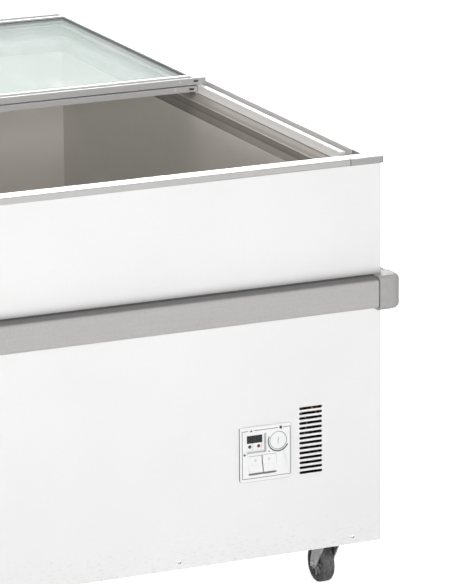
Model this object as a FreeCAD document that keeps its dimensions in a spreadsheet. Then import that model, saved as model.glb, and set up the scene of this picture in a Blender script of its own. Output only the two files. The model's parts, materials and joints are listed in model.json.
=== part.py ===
import FreeCAD, Part
import math
import os
import re
import Sketcher
from FreeCAD import Placement, Rotation, Vector

# Island display freezer with two sliding glass lids, in millimetres.
# +Z is up, the control end faces -Y, and the origin is on the floor under the middle.
# Section outlines of the top frame are written as (-u, -w): u is the distance inwards from the
# outer face of the rim and w is the depth below the top of the rim.

DIMENSIONS = {
    # cabinet
    "body_width": 840, "body_length": 1490, "cabinet_height": 860, "base_height": 105,
    "panel_sheet": 1.5, "panel_flange": 16, "panel_bend": 3, "panel_tuck": 2.5,
    "tray_sheet": 2, "tray_wall": 28,
    # top frame
    "rim_overhang": 5, "rim_skirt": 13.4, "rim_wall": 2, "rim_top": 33, "crease_inset": 7,
    "cap_leg": 70, "cap_radius": 7, "cap_gap": 0.4, "ledge_drop": 20,
    "rail_top_drop": 1, "rail_outer": 51, "rail_inner": 61.6, "rail_wall": 2, "rail_end_gap": 35,
    "nose_inset": 74.5, "breaker_inset": 71.5, "breaker_drop": 63, "breaker_wall": 2,
    # storage well and machine bay
    "liner_inset": 78, "liner_sheet": 1.5, "well_floor": 190,
    "bay_length": 290, "bay_ceiling": 400, "bay_wall": 60,
    "drain_y": 250, "drain_radius": 14, "plug_fit": 0.1, "plug_stem": 18, "plug_brim": 5, "plug_head": 3,
    "plug_grip_length": 24, "plug_grip_width": 4, "plug_grip_height": 10,
    "coil_radius": 4, "coil_inset": 60, "coil_step_gap": 18, "coil_bend": 24, "coil_pitch": 36,
    "coil_turns": 6, "coil_bottom": 225, "coil_clear": 1, "coil_inlet": 60, "coil_outlet": 80,
    "air_hole_x": 265, "air_hole_y": -665, "air_hole_width": 130, "air_hole_depth": 80,
    # bumper
    "bumper_depth": 30, "bumper_height": 56.8, "bumper_bottom": 572.4, "bumper_round": 8,
    "corner_height": 66.6, "corner_bottom": 566.8, "corner_depth": 31, "corner_round": 10.5,
    "bumper_wall": 3, "bumper_leg": 17, "bumper_corner_radius": 23, "bumper_gap": 0.6,
    # lids
    "lid_length": 735, "lid_gap": 1, "glass_thickness": 4, "glass_edge": 0.2, "lid_end_depth": 34,
    "upper_stile_outer": 44, "upper_stile_inner": 70, "upper_lid_rise": 13, "upper_lid_gap": 0.3,
    "lower_stile_outer": 62.2, "lower_stile_inner": 80, "lower_lid_drop": 3, "lower_lid_height": 12,
    "slot_depth": 10, "glass_play": 1, "glass_cover": 4, "end_slot_depth": 8,
    "grip_inset": 5, "grip_slope": 2, "grip_width": 16, "grip_depth": 7,
    "stile_skirt": 3, "stile_skirt_drop": 10, "runner_width": 3.6,
    # control panel, measured from the middle of its bezel
    "bezel_x": 177, "bezel_z": 311.5, "bezel_width": 106, "bezel_height": 108, "bezel_rise": 5,
    "bezel_back": 8, "bezel_round": 3, "bezel_corner": 5, "cutout_inset": 4, "cutout_fit": 0.3,
    "panel_gap": 0.2,
    "recess_x": -19, "recess_z": 20.7, "recess_width": 40, "recess_height": 37, "recess_depth": 10,
    "module_fit": 0.15, "module_depth": 24, "seat_fit": 0.1, "seat_depth": 3,
    "window_x": -18.7, "window_z": 26.5, "window_width": 31.6, "window_height": 15, "window_set": 0.3,
    "lamp_z": 12.6, "green_lamp_x": -28.7, "red_lamp_x": -10.4, "lamp_radius": 2.9, "lens_height": 4,
    "lens_round": 0.9,
    "dial_x": 25.7, "dial_z": 21.8, "dial_radius": 16.75, "dial_gap": 0.45, "dial_thickness": 9,
    "dial_round": 0.5, "dial_set": 0.3, "dial_turn": 94, "dial_shaft": 3, "shaft_length": 12,
    "shaft_fit": 0.05, "coin_slot_length": 18, "coin_slot_width": 2.4, "coin_slot_depth": 2,
    "thermostat_case": 40, "thermostat_depth": 30, "thermostat_bore": 14,
    "rocker_x": -6.8, "rocker_z": -21.6, "well_width": 57.2, "well_height": 38,
    "rocker_width": 27.2, "rocker_half": 16, "rocker_pivot": 3, "rocker_pin": 1.5,
    "rocker_tilt": 12, "rocker_web": 1.8, "rocker_face": 9, "rocker_valley": 7, "rocker_side": 3,
    "rocker_back": 4, "rocker_tail": 6, "rocker_round": 0.8, "rocker_play": 0.3,
    "switch_wall": 2.4, "switch_depth": 26, "switch_hollow": 20, "web_half_height": 5, "pin_play": 0.2,
    # vents
    "vent_x": 272.3, "vent_top": 387, "vent_length": 47.5, "vent_height": 5.4, "vent_pitch": 9.7,
    "vent_rows": 14, "side_vent_y": 600,
    # machine bay contents
    "compressor_x": -40, "compressor_y": -590, "compressor_radius": 78, "compressor_height": 165,
    "compressor_lift": 12, "foot_length": 190, "foot_width": 120, "foot_rise": 6, "foot_sheet": 4,
    "grommet_inset": 14, "grommet_radius": 10, "grommet_stand": 14,
    "relay_z": 90, "relay_width": 70, "relay_height": 60, "relay_depth": 34, "relay_sink": 8,
    "condenser_x": 290, "condenser_y": -672, "condenser_width": 160, "condenser_depth": 60,
    "condenser_height": 240, "condenser_lift": 8, "fin_count": 16, "fin_sheet": 1,
    "condenser_tube": 4, "tube_rows": 8, "bend_reach": 12, "tube_end": 14,
    "fan_y": -622, "fan_height": 125, "fan_radius": 75, "fan_hub": 22, "hub_length": 20,
    "blade_count": 5, "blade_chord": 46, "blade_sheet": 2, "blade_pitch": 24, "blade_sink": 6,
    "fan_shaft": 4, "fan_shaft_length": 46, "motor_gap": 26, "motor_radius": 36, "motor_length": 48,
    "motor_bore": 38, "motor_foot_width": 40, "motor_foot_start": 40,
    "pipe_radius": 4, "pipe_bend": 16, "discharge_z": 120, "suction_z": 100, "liquid_rise": 40,
    "drier_radius": 11, "drier_length": 90, "drier_setback": 36,
    "gland_y": -660, "gland_z": 150, "gland_radius": 9, "gland_fit": 0.1, "gland_brim": 5,
    "gland_rise": 6, "gland_reach": 14, "gland_bore": 4,
    # castors
    "castor_inset_x": 75, "castor_inset_y": 85, "castor_plate": 3, "castor_plate_size": 86,
    "castor_collar": 22, "castor_collar_height": 6, "collar_gap": 0.3, "kingpin_radius": 5,
    "kingpin_bore": 20, "castor_trail": 26, "bolt_radius": 6, "bolt_head": 4, "bolt_spacing": 31,
    "fork_crown": 20, "fork_skirt": 14, "fork_plate": 3, "fork_gap": 2,
    "wheel_radius": 37.5, "wheel_width": 26, "wheel_round": 5, "tyre_height": 11, "wheel_dish": 4,
    "wheel_boss": 5, "axle_radius": 4, "axle_end": 3,
}

RIM_X = "(body_width / 2 + rim_overhang)"
RIM_Y = "(body_length / 2 + rim_overhang)"
SIDES = {
    "right": (0, (RIM_X, "0"), RIM_Y),
    "far": (90, ("0", RIM_Y), RIM_X),
    "left": (180, ("-" + RIM_X, "0"), RIM_Y),
    "near": (270, ("0", "-" + RIM_Y), RIM_X),
}
FOUR_SIGNS = [(1, -1), (1, 1), (-1, 1), (-1, -1)]
CORNERS = {
    "near_right": (0, 1, -1),
    "far_right": (90, 1, 1),
    "far_left": (180, -1, 1),
    "near_left": (270, -1, -1),
}

doc = FreeCAD.newDocument("DisplayFreezer")
sheet = doc.addObject("Spreadsheet::Sheet", "Dimensions")
for row, (alias, number) in enumerate(DIMENSIONS.items(), start=1):
    sheet.set(f"A{row}", alias)
    sheet.set(f"B{row}", str(number))
    sheet.setAlias(f"B{row}", alias)
doc.recompute()
PIECES = []


# ---------------------------------------------------------------- helpers

def bound(text):
    """The expression with each alias named in full."""
    return re.sub(r"[a-z]\w*", lambda m: ("Dimensions." if m[0] in DIMENSIONS else "") + m[0], text)


def value(text):
    return float(sheet.evalExpression(text))


def piece(item, label):
    """Names a finished sub-part, which is written to its own file."""
    item.Label = label
    PIECES.append(item)
    return item


def group(label, items):
    """Several like solids that share one node."""
    compound = doc.addObject("Part::Compound", label)
    compound.Links = items
    return piece(compound, label)


def put(item, x="0", y="0", z="0", turn=0, about=Vector(0, 0, 1)):
    item.Placement = Placement(Vector(), Rotation(about, turn))
    for axis, text in zip("xyz", (x, y, z)):
        item.setExpression(f"Placement.Base.{axis}", bound(text))
    return item


def drawing_on(body, plane, name, lift="0"):
    """An empty sketch on one of the body's origin planes, lifted along the plane's normal."""
    drawing = body.newObject("Sketcher::SketchObject", name)
    support = [face for face in body.Origin.OriginFeatures if face.Role == plane][0]
    drawing.AttachmentSupport = (support, [""])
    drawing.MapMode = "FlatFace"
    drawing.setExpression("AttachmentOffset.Base.z", bound(lift))
    return drawing


def hold(drawing, kind, geometry, point, text):
    """A distance from the sketch's origin, bound to the sheet."""
    where = Sketcher.Constraint(kind, -1, 1, geometry, point, value(text))
    index = drawing.addConstraint(where)
    drawing.setExpression(f"Constraints[{index}]", bound(text))


def add_outline(drawing, corners):
    """A closed run of straight lines through corners given as pairs of expressions."""
    first = drawing.GeometryCount
    points = [Vector(value(x), value(y), 0) for x, y in corners]
    count = len(points)
    for i in range(count):
        drawing.addGeometry(Part.LineSegment(points[i], points[(i + 1) % count]))
    for i in range(count):
        joined = Sketcher.Constraint("Coincident", first + i, 2, first + (i + 1) % count, 1)
        drawing.addConstraint(joined)
    for i, (x, y) in enumerate(corners):
        hold(drawing, "DistanceX", first + i, 1, x)
        hold(drawing, "DistanceY", first + i, 1, y)


def add_rectangle(drawing, x, y, width, height):
    """A rectangle by its middle and size."""
    left, right = f"{x} - {width} / 2", f"{x} + {width} / 2"
    low, high = f"{y} - {height} / 2", f"{y} + {height} / 2"
    add_outline(drawing, [(left, low), (right, low), (right, high), (left, high)])


def add_circle(drawing, x, y, radius):
    centre = Vector(value(x), value(y), 0)
    index = drawing.addGeometry(Part.Circle(centre, Vector(0, 0, 1), value(radius)))
    hold(drawing, "DistanceX", index, 3, x)
    hold(drawing, "DistanceY", index, 3, y)
    size = drawing.addConstraint(Sketcher.Constraint("Radius", index, value(radius)))
    drawing.setExpression(f"Constraints[{size}]", bound(radius))


def add_slot(drawing, x, y, length, height):
    """A round-ended slot by its middle, overall length and height."""
    radius = value(height) / 2
    reach = value(length) / 2 - radius
    middle = Vector(value(x), value(y), 0)
    up, z_axis = Vector(0, radius, 0), Vector(0, 0, 1)
    ends = [middle + Vector(reach, 0, 0), middle - Vector(reach, 0, 0)]
    quarter = math.pi / 2
    circles = [Part.Circle(end, z_axis, radius) for end in ends]
    right = drawing.addGeometry(Part.ArcOfCircle(circles[0], -quarter, quarter))
    left = drawing.addGeometry(Part.ArcOfCircle(circles[1], quarter, -quarter))
    top = drawing.addGeometry(Part.LineSegment(ends[0] + up, ends[1] + up))
    bottom = drawing.addGeometry(Part.LineSegment(ends[1] - up, ends[0] - up))
    for first, second in ((right, top), (top, left), (left, bottom), (bottom, right)):
        drawing.addConstraint(Sketcher.Constraint("Tangent", first, 2, second, 1))
    drawing.addConstraint(Sketcher.Constraint("Equal", left, right))
    hold(drawing, "DistanceX", right, 3, f"{x} + ({length} - {height}) / 2")
    hold(drawing, "DistanceY", right, 3, y)
    hold(drawing, "DistanceX", left, 3, f"{x} - ({length} - {height}) / 2")
    hold(drawing, "DistanceY", left, 3, y)
    size = drawing.addConstraint(Sketcher.Constraint("Radius", right, radius))
    drawing.setExpression(f"Constraints[{size}]", bound(f"{height} / 2"))


def pad(body, drawing, length, symmetric=False, reverse=False):
    feature = body.newObject("PartDesign::Pad", drawing.Name + "_pad")
    feature.Profile = drawing
    feature.setExpression("Length", bound(length))
    feature.SideType = "Symmetric" if symmetric else "One side"
    feature.Reversed = reverse
    return feature


def pocket(body, drawing, depth, symmetric=False, reverse=False):
    """Cuts against the sketch's normal, and checks that something was cut away."""
    doc.recompute()
    before = body.Shape.Volume
    feature = body.newObject("PartDesign::Pocket", drawing.Name + "_pocket")
    feature.Profile = drawing
    feature.setExpression("Length", bound(depth))
    feature.SideType = "Symmetric" if symmetric else "One side"
    feature.Reversed = reverse
    doc.recompute()
    if not body.Shape.Volume < before:
        raise ValueError(f"{feature.Name} cuts nothing")
    return feature


def round_edges(body, radius, wanted):
    """A fillet on every edge of the body's tip that the test picks, in the body's own frame."""
    doc.recompute()
    tip = body.Tip
    names = [f"Edge{i}" for i, edge in enumerate(tip.Shape.Edges, start=1) if wanted(edge)]
    if not names:
        raise ValueError(f"no edge to round on {body.Name}")
    feature = body.newObject("PartDesign::Fillet", f"{body.Name}_round")
    feature.Base = (tip, names)
    feature.setExpression("Radius", bound(radius))


def runs_along(edge, axis):
    """True for a straight edge along a unit axis."""
    if edge.Curve.TypeId != "Part::GeomLine":
        return False
    return abs(edge.Curve.Direction.dot(axis)) > 0.999


def section_bar(label, outline, length):
    """A straight bar along local Y with its section in the XZ plane."""
    body = doc.addObject("PartDesign::Body", label)
    drawing = drawing_on(body, "XZ_Plane", label + "_section")
    add_outline(drawing, outline)
    pad(body, drawing, length, symmetric=True)
    return body


def block(name, low, high):
    """A box between two corners given as expressions."""
    box = doc.addObject("Part::Box", name)
    for axis, size, start, end in zip("xyz", ("Length", "Width", "Height"), low, high):
        box.setExpression(size, bound(f"({end}) - ({start})"))
        box.setExpression(f"Placement.Base.{axis}", bound(start))
    return box


def rod(name, radius, length, base, turn=0, about=Vector(0, 0, 1)):
    """A cylinder from its base point, along +Z unless turned."""
    cylinder = doc.addObject("Part::Cylinder", name)
    cylinder.setExpression("Radius", bound(radius))
    cylinder.setExpression("Height", bound(length))
    return put(cylinder, *base, turn=turn, about=about)


def cut(name, base, tool):
    item = doc.addObject("Part::Cut", name)
    item.Base, item.Tool = base, tool
    return item


def fuse(name, items):
    item = doc.addObject("Part::MultiFuse", name)
    item.Shapes = items
    return item


def rounded_path(points, radius):
    """A wire through the points, straight with a tangent arc of one radius at each bend."""
    edges, start = [], points[0]
    for before, corner, after in zip(points, points[1:], points[2:]):
        back, ahead = (before - corner).normalize(), (after - corner).normalize()
        reach = radius / math.tan(back.getAngle(ahead) / 2)
        crown = radius * (1 / math.sin(back.getAngle(ahead) / 2) - 1)
        middle = corner + (back + ahead).normalize() * crown
        arc_start, arc_end = corner + back * reach, corner + ahead * reach
        edges.append(Part.LineSegment(start, arc_start).toShape())
        edges.append(Part.Arc(arc_start, middle, arc_end).toShape())
        start = arc_end
    edges.append(Part.LineSegment(start, points[-1]).toShape())
    return Part.Wire(edges)


def tube(points, radius, bend):
    """A solid round bar along the rounded path."""
    path = rounded_path([Vector(*point) for point in points], bend)
    first = path.Edges[0]
    at = first.FirstParameter
    ring = Part.Circle(first.valueAt(at), first.tangentAt(at), radius)
    return path.makePipeShell([Part.Wire([ring.toShape()])], True, False)


# ---------------------------------------------------------------- outer cabinet

def skin_panel(label, turn, at, half_length, flanged, vents=()):
    """A sheet wall. Local X runs along it and local Y points into the cabinet."""
    body = doc.addObject("PartDesign::Body", label)
    plan = drawing_on(body, "XY_Plane", label + "_plan")
    inner = f"({half_length} - panel_sheet)"
    if flanged:
        corners = [
            (f"-{half_length}", "0"), (half_length, "0"), (half_length, "panel_flange"),
            (inner, "panel_flange"), (inner, "panel_sheet"), (f"-{inner}", "panel_sheet"),
            (f"-{inner}", "panel_flange"), (f"-{half_length}", "panel_flange"),
        ]
    else:
        corners = [(f"-{half_length}", "0"), (half_length, "0")]
        corners += [(half_length, "panel_sheet"), (f"-{half_length}", "panel_sheet")]
    add_outline(plan, corners)
    pad(body, plan, "cabinet_height - panel_tuck - base_height")
    if flanged:
        up, outside = Vector(0, 0, 1), value(half_length)

        def bend(edge):
            middle = edge.CenterOfMass
            return runs_along(edge, up) and abs(middle.y) < 0.01 and abs(abs(middle.x) - outside) < 0.01

        round_edges(body, "panel_bend", bend)
    for number, x in enumerate(vents):
        grille = drawing_on(body, "XZ_Plane", f"{label}_vent{number}")
        lowest = "vent_top - (vent_rows - 1) * vent_pitch - base_height"
        add_slot(grille, x, lowest, "vent_length", "vent_height")
        slot = pocket(body, grille, "panel_sheet * 2")
        rows = body.newObject("PartDesign::LinearPattern", f"{label}_vents{number}")
        rows.Originals = [slot]
        rows.Direction = (grille, ["V_Axis"])
        rows.setExpression("Length", bound("(vent_rows - 1) * vent_pitch"))
        rows.setExpression("Occurrences", "Dimensions.vent_rows")
        body.Tip = rows
    put(body, *at, "base_height", turn=turn)
    return piece(body, label)


def outer_cabinet():
    half_x, half_y = "(body_width / 2)", "(body_length / 2)"
    side_half = "(body_length / 2 - panel_flange)"
    front = skin_panel("control_end_panel", 0, ("0", "-" + half_y), half_x, True, ["vent_x"])
    opening = drawing_on(front, "XZ_Plane", "control_opening")
    add_rectangle(opening, "bezel_x", "(bezel_z - base_height)", "(bezel_width - 2 * cutout_inset)",
                  "(bezel_height - 2 * cutout_inset)")
    pocket(front, opening, "panel_sheet * 2")
    skin_panel("far_end_panel", 180, ("0", half_y), half_x, True)
    right = skin_panel("right_side_panel", 90, (half_x, "0"), side_half, False, ["-side_vent_y"])
    gland_hole = drawing_on(right, "XZ_Plane", "gland_hole")
    add_circle(gland_hole, "gland_y", "gland_z - base_height", "gland_radius")
    pocket(right, gland_hole, "panel_sheet * 2")
    skin_panel("left_side_panel", 270, ("-" + half_x, "0"), side_half, False, ["side_vent_y"])


def base_tray():
    x, y = "(body_width / 2 - panel_sheet)", "(body_length / 2 - panel_sheet)"
    top = "base_height + tray_wall"
    pan = block("tray_blank", (f"-{x}", f"-{y}", "base_height"), (x, y, top))
    hollow = block("tray_hollow", (f"-{x} + tray_sheet", f"-{y} + tray_sheet", "base_height + tray_sheet"),
                   (f"{x} - tray_sheet", f"{y} - tray_sheet", top))
    air = block("tray_air_hole",
                ("air_hole_x - air_hole_width / 2", "air_hole_y - air_hole_depth / 2", "base_height"),
                ("air_hole_x + air_hole_width / 2", "air_hole_y + air_hole_depth / 2",
                 "base_height + tray_sheet"))
    piece(cut("base_tray", cut("tray_pan", pan, hollow), air), "base_tray")


# ---------------------------------------------------------------- storage well

def well_blocks(name, grow, top):
    """The stepped space of the storage well, grown outwards by a margin."""
    x, y = f"({RIM_X} - liner_inset + {grow})", f"({RIM_Y} - liner_inset + {grow})"
    step = f"(-body_length / 2 + bay_length + bay_wall - {grow})"
    space = block(name + "_space", (f"-{x}", f"-{y}", f"well_floor - {grow}"), (x, y, top))
    hump = block(name + "_hump", (f"-{x}", f"-{y}", f"well_floor - {grow}"),
                 (x, step, f"bay_ceiling + bay_wall - {grow}"))
    return cut(name, space, hump)


def storage_well():
    liner_top = "cabinet_height - breaker_drop"
    outside = well_blocks("liner_outside", "liner_sheet", liner_top)
    inside = well_blocks("liner_inside", "0", liner_top)
    shell = cut("liner_shell", outside, inside)
    hole = rod("drain_hole", "drain_radius", "4 * liner_sheet",
               ("0", "drain_y", "well_floor - 2 * liner_sheet"))
    piece(cut("inner_liner", shell, hole), "inner_liner")
    drain_plug()

    x, y = "(body_width / 2 - panel_sheet)", "(body_length / 2 - panel_sheet)"
    floor = "(base_height + tray_wall)"
    shoulder = "cabinet_height - ledge_drop - breaker_wall"
    upper = block("foam_upper", (f"-{x}", f"-{y}", floor), (x, y, shoulder))
    lower = block("foam_lower", (f"-{x} + tray_sheet", f"-{y} + tray_sheet", "base_height + tray_sheet"),
                  (f"{x} - tray_sheet", f"{y} - tray_sheet", floor))
    mouth_x = f"({RIM_X} - rail_inner - breaker_wall)"
    mouth_y = f"({RIM_Y} - rail_inner - breaker_wall)"
    mouth = block("foam_mouth", (f"-{mouth_x}", f"-{mouth_y}", liner_top), (mouth_x, mouth_y, shoulder))
    margin = "(coil_radius + coil_clear)"
    coil_x, coil_y = f"({RIM_X} - coil_inset + {margin})", f"({RIM_Y} - coil_inset + {margin})"
    coil_near = f"-body_length / 2 + bay_length + bay_wall - coil_step_gap - {margin}"
    recess = block("foam_recess", (f"-{coil_x}", coil_near, f"coil_bottom - {margin}"),
                   (coil_x, coil_y, f"coil_bottom + coil_turns * coil_pitch + {margin}"))
    bay = block("foam_bay", (f"-{x}", f"-{y}", "base_height"),
                (x, "-body_length / 2 + bay_length", "bay_ceiling"))
    drain = rod("foam_drain", "drain_radius", "well_floor", ("0", "drain_y", "0"))
    well = well_blocks("foam_well", "liner_sheet", shoulder)
    tools = fuse("foam_tools", [well, mouth, recess, bay, drain])
    piece(cut("foam_body", fuse("foam_blank", [upper, lower]), tools), "foam_body")


def drain_plug():
    """A stem in the drain hole under a wide head with a finger grip."""
    stem = rod("plug_pin", "drain_radius - plug_fit", "plug_stem", ("0", "drain_y", "well_floor - plug_stem"))
    head = rod("plug_disc", "drain_radius + plug_brim", "plug_head", ("0", "drain_y", "well_floor"))
    top = "well_floor + plug_head"
    grip = block("plug_grip", ("-plug_grip_length / 2", "drain_y - plug_grip_width / 2", top),
                 ("plug_grip_length / 2", "drain_y + plug_grip_width / 2", f"{top} + plug_grip_height"))
    piece(fuse("drain_plug", [stem, head, grip]), "drain_plug")


def evaporator_coil():
    """Tube wound round the liner above the machine bay step, rising one pitch in each turn."""
    x = value(RIM_X) - value("coil_inset")
    far = value(RIM_Y) - value("coil_inset")
    near = value("-body_length / 2 + bay_length + bay_wall - coil_step_gap")
    pitch, low = value("coil_pitch"), value("coil_bottom")
    points = [(-x, near + value("coil_inlet"), low)]
    for turn in range(DIMENSIONS["coil_turns"]):
        height = low + turn * pitch
        last = -x if turn < DIMENSIONS["coil_turns"] - 1 else -x + value("coil_outlet")
        points += [(-x, far, height), (x, far, height), (x, near, height), (last, near, height + pitch)]
    coil = doc.addObject("Part::Feature", "evaporator_coil")
    coil.Shape = tube(points, value("coil_radius"), value("coil_bend"))
    piece(coil, "evaporator_coil")


# ---------------------------------------------------------------- top frame

RIM_SECTION = [
    ("0", "-rim_skirt"), ("0", "-1"), ("-1", "0"), ("-crease_inset + 0.8", "0"),
    ("-crease_inset", "-0.6"), ("-crease_inset - 0.8", "0"), ("-rim_top", "0"),
    ("-rim_top", "-ledge_drop"), ("-rim_top + rim_wall", "-ledge_drop"),
    ("-rim_top + rim_wall", "-rim_wall"), ("-rim_wall", "-rim_wall"),
    ("-rim_wall", "-rim_skirt + rim_wall"), ("-rim_overhang", "-rim_skirt + rim_wall"),
    ("-rim_overhang", "-rim_skirt"),
]

BREAKER_SECTION = [
    ("-rim_top", "-ledge_drop"), ("-rail_inner - 4.4", "-ledge_drop"),
    ("-nose_inset + 4", "-ledge_drop - 5"), ("-nose_inset + 1", "-ledge_drop - 10"),
    ("-nose_inset", "-ledge_drop - 12.5"), ("-nose_inset + 0.6", "-ledge_drop - 14.6"),
    ("-breaker_inset", "-ledge_drop - 16"), ("-breaker_inset", "-breaker_drop + 14"),
    ("-liner_inset", "-breaker_drop + 3"), ("-liner_inset", "-breaker_drop"),
    ("-liner_inset + breaker_wall", "-breaker_drop"), ("-liner_inset + breaker_wall", "-breaker_drop + 4"),
    ("-breaker_inset + breaker_wall", "-breaker_drop + 15"),
    ("-breaker_inset + breaker_wall", "-ledge_drop - 7"),
    ("-rail_inner - 3.4", "-ledge_drop - breaker_wall"), ("-rim_top", "-ledge_drop - breaker_wall"),
]

RAIL_SECTION = [
    ("-rail_inner", "-rail_top_drop - 0.6"), ("-rail_inner + 0.6", "-rail_top_drop"),
    ("-rail_outer - 0.6", "-rail_top_drop"), ("-rail_outer", "-rail_top_drop - 0.6"),
    ("-rail_outer", "-rail_top_drop - 5"), ("-rail_outer - rail_wall", "-rail_top_drop - 5"),
    ("-rail_outer - rail_wall", "-rail_top_drop - rail_wall"),
    ("-rail_inner + rail_wall", "-rail_top_drop - rail_wall"),
    ("-rail_inner + rail_wall + 0.8", "-10"), ("-rail_inner + rail_wall", "-ledge_drop + rail_wall + 1"),
    ("-rail_outer", "-ledge_drop + rail_wall"), ("-rail_outer", "-ledge_drop"),
    ("-rail_inner + 1.2", "-ledge_drop"), ("-rail_inner + 1.2", "-ledge_drop + 1"),
    ("-rail_inner", "-ledge_drop + 1.4"), ("-rail_inner + 0.9", "-10"),
]


def breaker(label, half_length):
    """Ledge strip under the rim, cut at 45 degrees at both ends."""
    body = section_bar(label, BREAKER_SECTION, f"2 * ({half_length} - rim_top)")
    mitre = drawing_on(body, "XY_Plane", label + "_mitre")
    inside = "(liner_inset + 1)"
    for sign in ("", "-"):
        end, short = f"{sign}({half_length} - rim_top)", f"{sign}({half_length} - {inside})"
        add_outline(mitre, [("-rim_top", end), (f"-{inside}", end), (f"-{inside}", short)])
    pocket(body, mitre, "breaker_drop")
    return body


def top_frame():
    for side, (turn, at, half_length) in SIDES.items():
        rim = section_bar(f"rim_{side}", RIM_SECTION, f"2 * ({half_length} - cap_leg - cap_gap)")
        ledge = breaker(f"breaker_{side}", half_length)
        for body in (rim, ledge):
            put(body, *at, "cabinet_height", turn=turn)
            piece(body, body.Name)
        if side in ("left", "right"):
            rail = section_bar(f"lid_rail_{side}", RAIL_SECTION,
                               f"2 * ({half_length} - rim_top - rail_end_gap)")
            put(rail, *at, "cabinet_height", turn=turn)
            piece(rail, rail.Name)


def add_cap_band(drawing, outer, inner, leg):
    """An L in plan between two insets from the outer faces, with the corner at the origin."""
    add_outline(drawing, [(f"-{outer}", outer), (f"-{outer}", leg), (f"-{inner}", leg),
                          (f"-{inner}", inner), (f"-{leg}", inner), (f"-{leg}", outer)])


def rim_cap(name):
    """Moulded corner of the rim, hollow underneath. The outer corner is at the origin."""
    body = doc.addObject("PartDesign::Body", name)
    whole = drawing_on(body, "XY_Plane", name + "_plan")
    add_cap_band(whole, "0", "rim_top", "cap_leg")
    pad(body, whole, "ledge_drop", reverse=True)
    under = drawing_on(body, "XY_Plane", name + "_under", "-ledge_drop")
    add_cap_band(under, "0", "rim_overhang", "cap_leg")
    pocket(body, under, "ledge_drop - rim_skirt", reverse=True)
    hollow = drawing_on(body, "XY_Plane", name + "_hollow", "-ledge_drop")
    add_cap_band(hollow, "rim_overhang", "(rim_top - rim_wall)", "cap_leg")
    pocket(body, hollow, "ledge_drop - rim_wall", reverse=True)
    up = Vector(0, 0, 1)
    round_edges(body, "cap_radius", lambda edge: runs_along(edge, up) and edge.CenterOfMass.sub(
        Vector(0, 0, edge.CenterOfMass.z)).Length < 0.01)
    outer_top = [Vector(0, 1, 0), Vector(1, 0, 0)]

    def top_edge(edge):
        middle = edge.CenterOfMass
        on_face = abs(middle.x) < 0.01 or abs(middle.y) < 0.01
        return abs(middle.z) < 0.01 and on_face and any(runs_along(edge, axis) for axis in outer_top)

    round_edges(body, "rim_wall / 2", top_edge)
    return body


def bumper_cap(name):
    """Moulded corner of the bumper, with the cabinet's corner at the origin."""
    body = doc.addObject("PartDesign::Body", name)
    plan = drawing_on(body, "XY_Plane", name + "_plan")
    add_outline(plan, [("-bumper_leg", "-corner_depth"), ("corner_depth", "-corner_depth"),
                       ("corner_depth", "bumper_leg"), ("0", "bumper_leg"), ("0", "0"), ("-bumper_leg", "0")])
    pad(body, plan, "corner_height")
    up, depth = Vector(0, 0, 1), value("corner_depth")

    def corner(edge):
        middle = edge.CenterOfMass
        return runs_along(edge, up) and abs(middle.x - depth) < 0.01 and abs(middle.y + depth) < 0.01

    round_edges(body, "bumper_corner_radius", corner)

    def brim(edge):
        middle = edge.CenterOfMass
        outside = middle.x > depth / 2 or middle.y < -depth / 2
        level = abs(edge.BoundBox.ZLength) < 0.01
        straight_end = runs_along(edge, Vector(1, 0, 0)) and middle.y > 0
        straight_end = straight_end or (runs_along(edge, Vector(0, 1, 0)) and middle.x < 0)
        return outside and level and not straight_end

    round_edges(body, "corner_round", brim)
    return body


def corner_caps():
    rims, bumpers = [], []
    for corner, (turn, sign_x, sign_y) in CORNERS.items():
        rim = rim_cap(f"rim_cap_{corner}")
        rims.append(put(rim, f"{sign_x} * {RIM_X}", f"{sign_y} * {RIM_Y}", "cabinet_height", turn=turn))
        cap = bumper_cap(f"bumper_cap_{corner}")
        bumpers.append(put(cap, f"{sign_x} * body_width / 2", f"{sign_y} * body_length / 2",
                           "corner_bottom", turn=turn))
    group("rim_corner_caps", rims)
    group("bumper_corner_caps", bumpers)


def bumpers():
    """Hollow bumper lengths on the four walls, open at the back."""
    inner, bevel = "(bumper_depth - bumper_wall)", "bumper_wall"
    high = "(bumper_height - bumper_wall)"
    for side, (turn, (x, y), half_length) in SIDES.items():
        label = f"bumper_{side}"
        outline = [("0", "0"), ("bumper_depth", "0"), ("bumper_depth", "bumper_height"),
                   ("0", "bumper_height")]
        length = f"2 * ({half_length} - rim_overhang - bumper_leg - bumper_gap)"
        body = section_bar(label, outline, length)
        along, depth = Vector(0, 1, 0), value("bumper_depth")
        round_edges(body, "bumper_round",
                    lambda edge: runs_along(edge, along) and abs(edge.CenterOfMass.x - depth) < 0.01)
        hollow = drawing_on(body, "XZ_Plane", label + "_hollow")
        add_outline(hollow, [("0", "bumper_wall"), (f"{inner} - {bevel}", "bumper_wall"),
                             (inner, f"bumper_wall + {bevel}"), (inner, f"{high} - {bevel}"),
                             (f"{inner} - {bevel}", high), ("0", high)])
        pocket(body, hollow, length + " + bumper_gap", symmetric=True)
        put(body, x.replace(RIM_X, "body_width / 2"), y.replace(RIM_Y, "body_length / 2"), "bumper_bottom",
            turn=turn)
        piece(body, label)


# ---------------------------------------------------------------- sliding lids

LID_MIDDLE = f"({RIM_Y} - rim_top - lid_gap - lid_length / 2)"


def lid_section(outer, inner, top, bottom):
    """Stile section with the glass slot in its inner side."""
    slot_top = f"({top} - glass_cover)"
    slot_low = f"({slot_top} - glass_thickness - 2 * glass_edge)"
    back = f"(-{inner} + slot_depth)"
    return [(f"-{outer}", top), (f"-{inner}", top), (f"-{inner}", slot_top), (back, slot_top),
            (back, slot_low), (f"-{inner}", slot_low), (f"-{inner}", bottom)]


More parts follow.
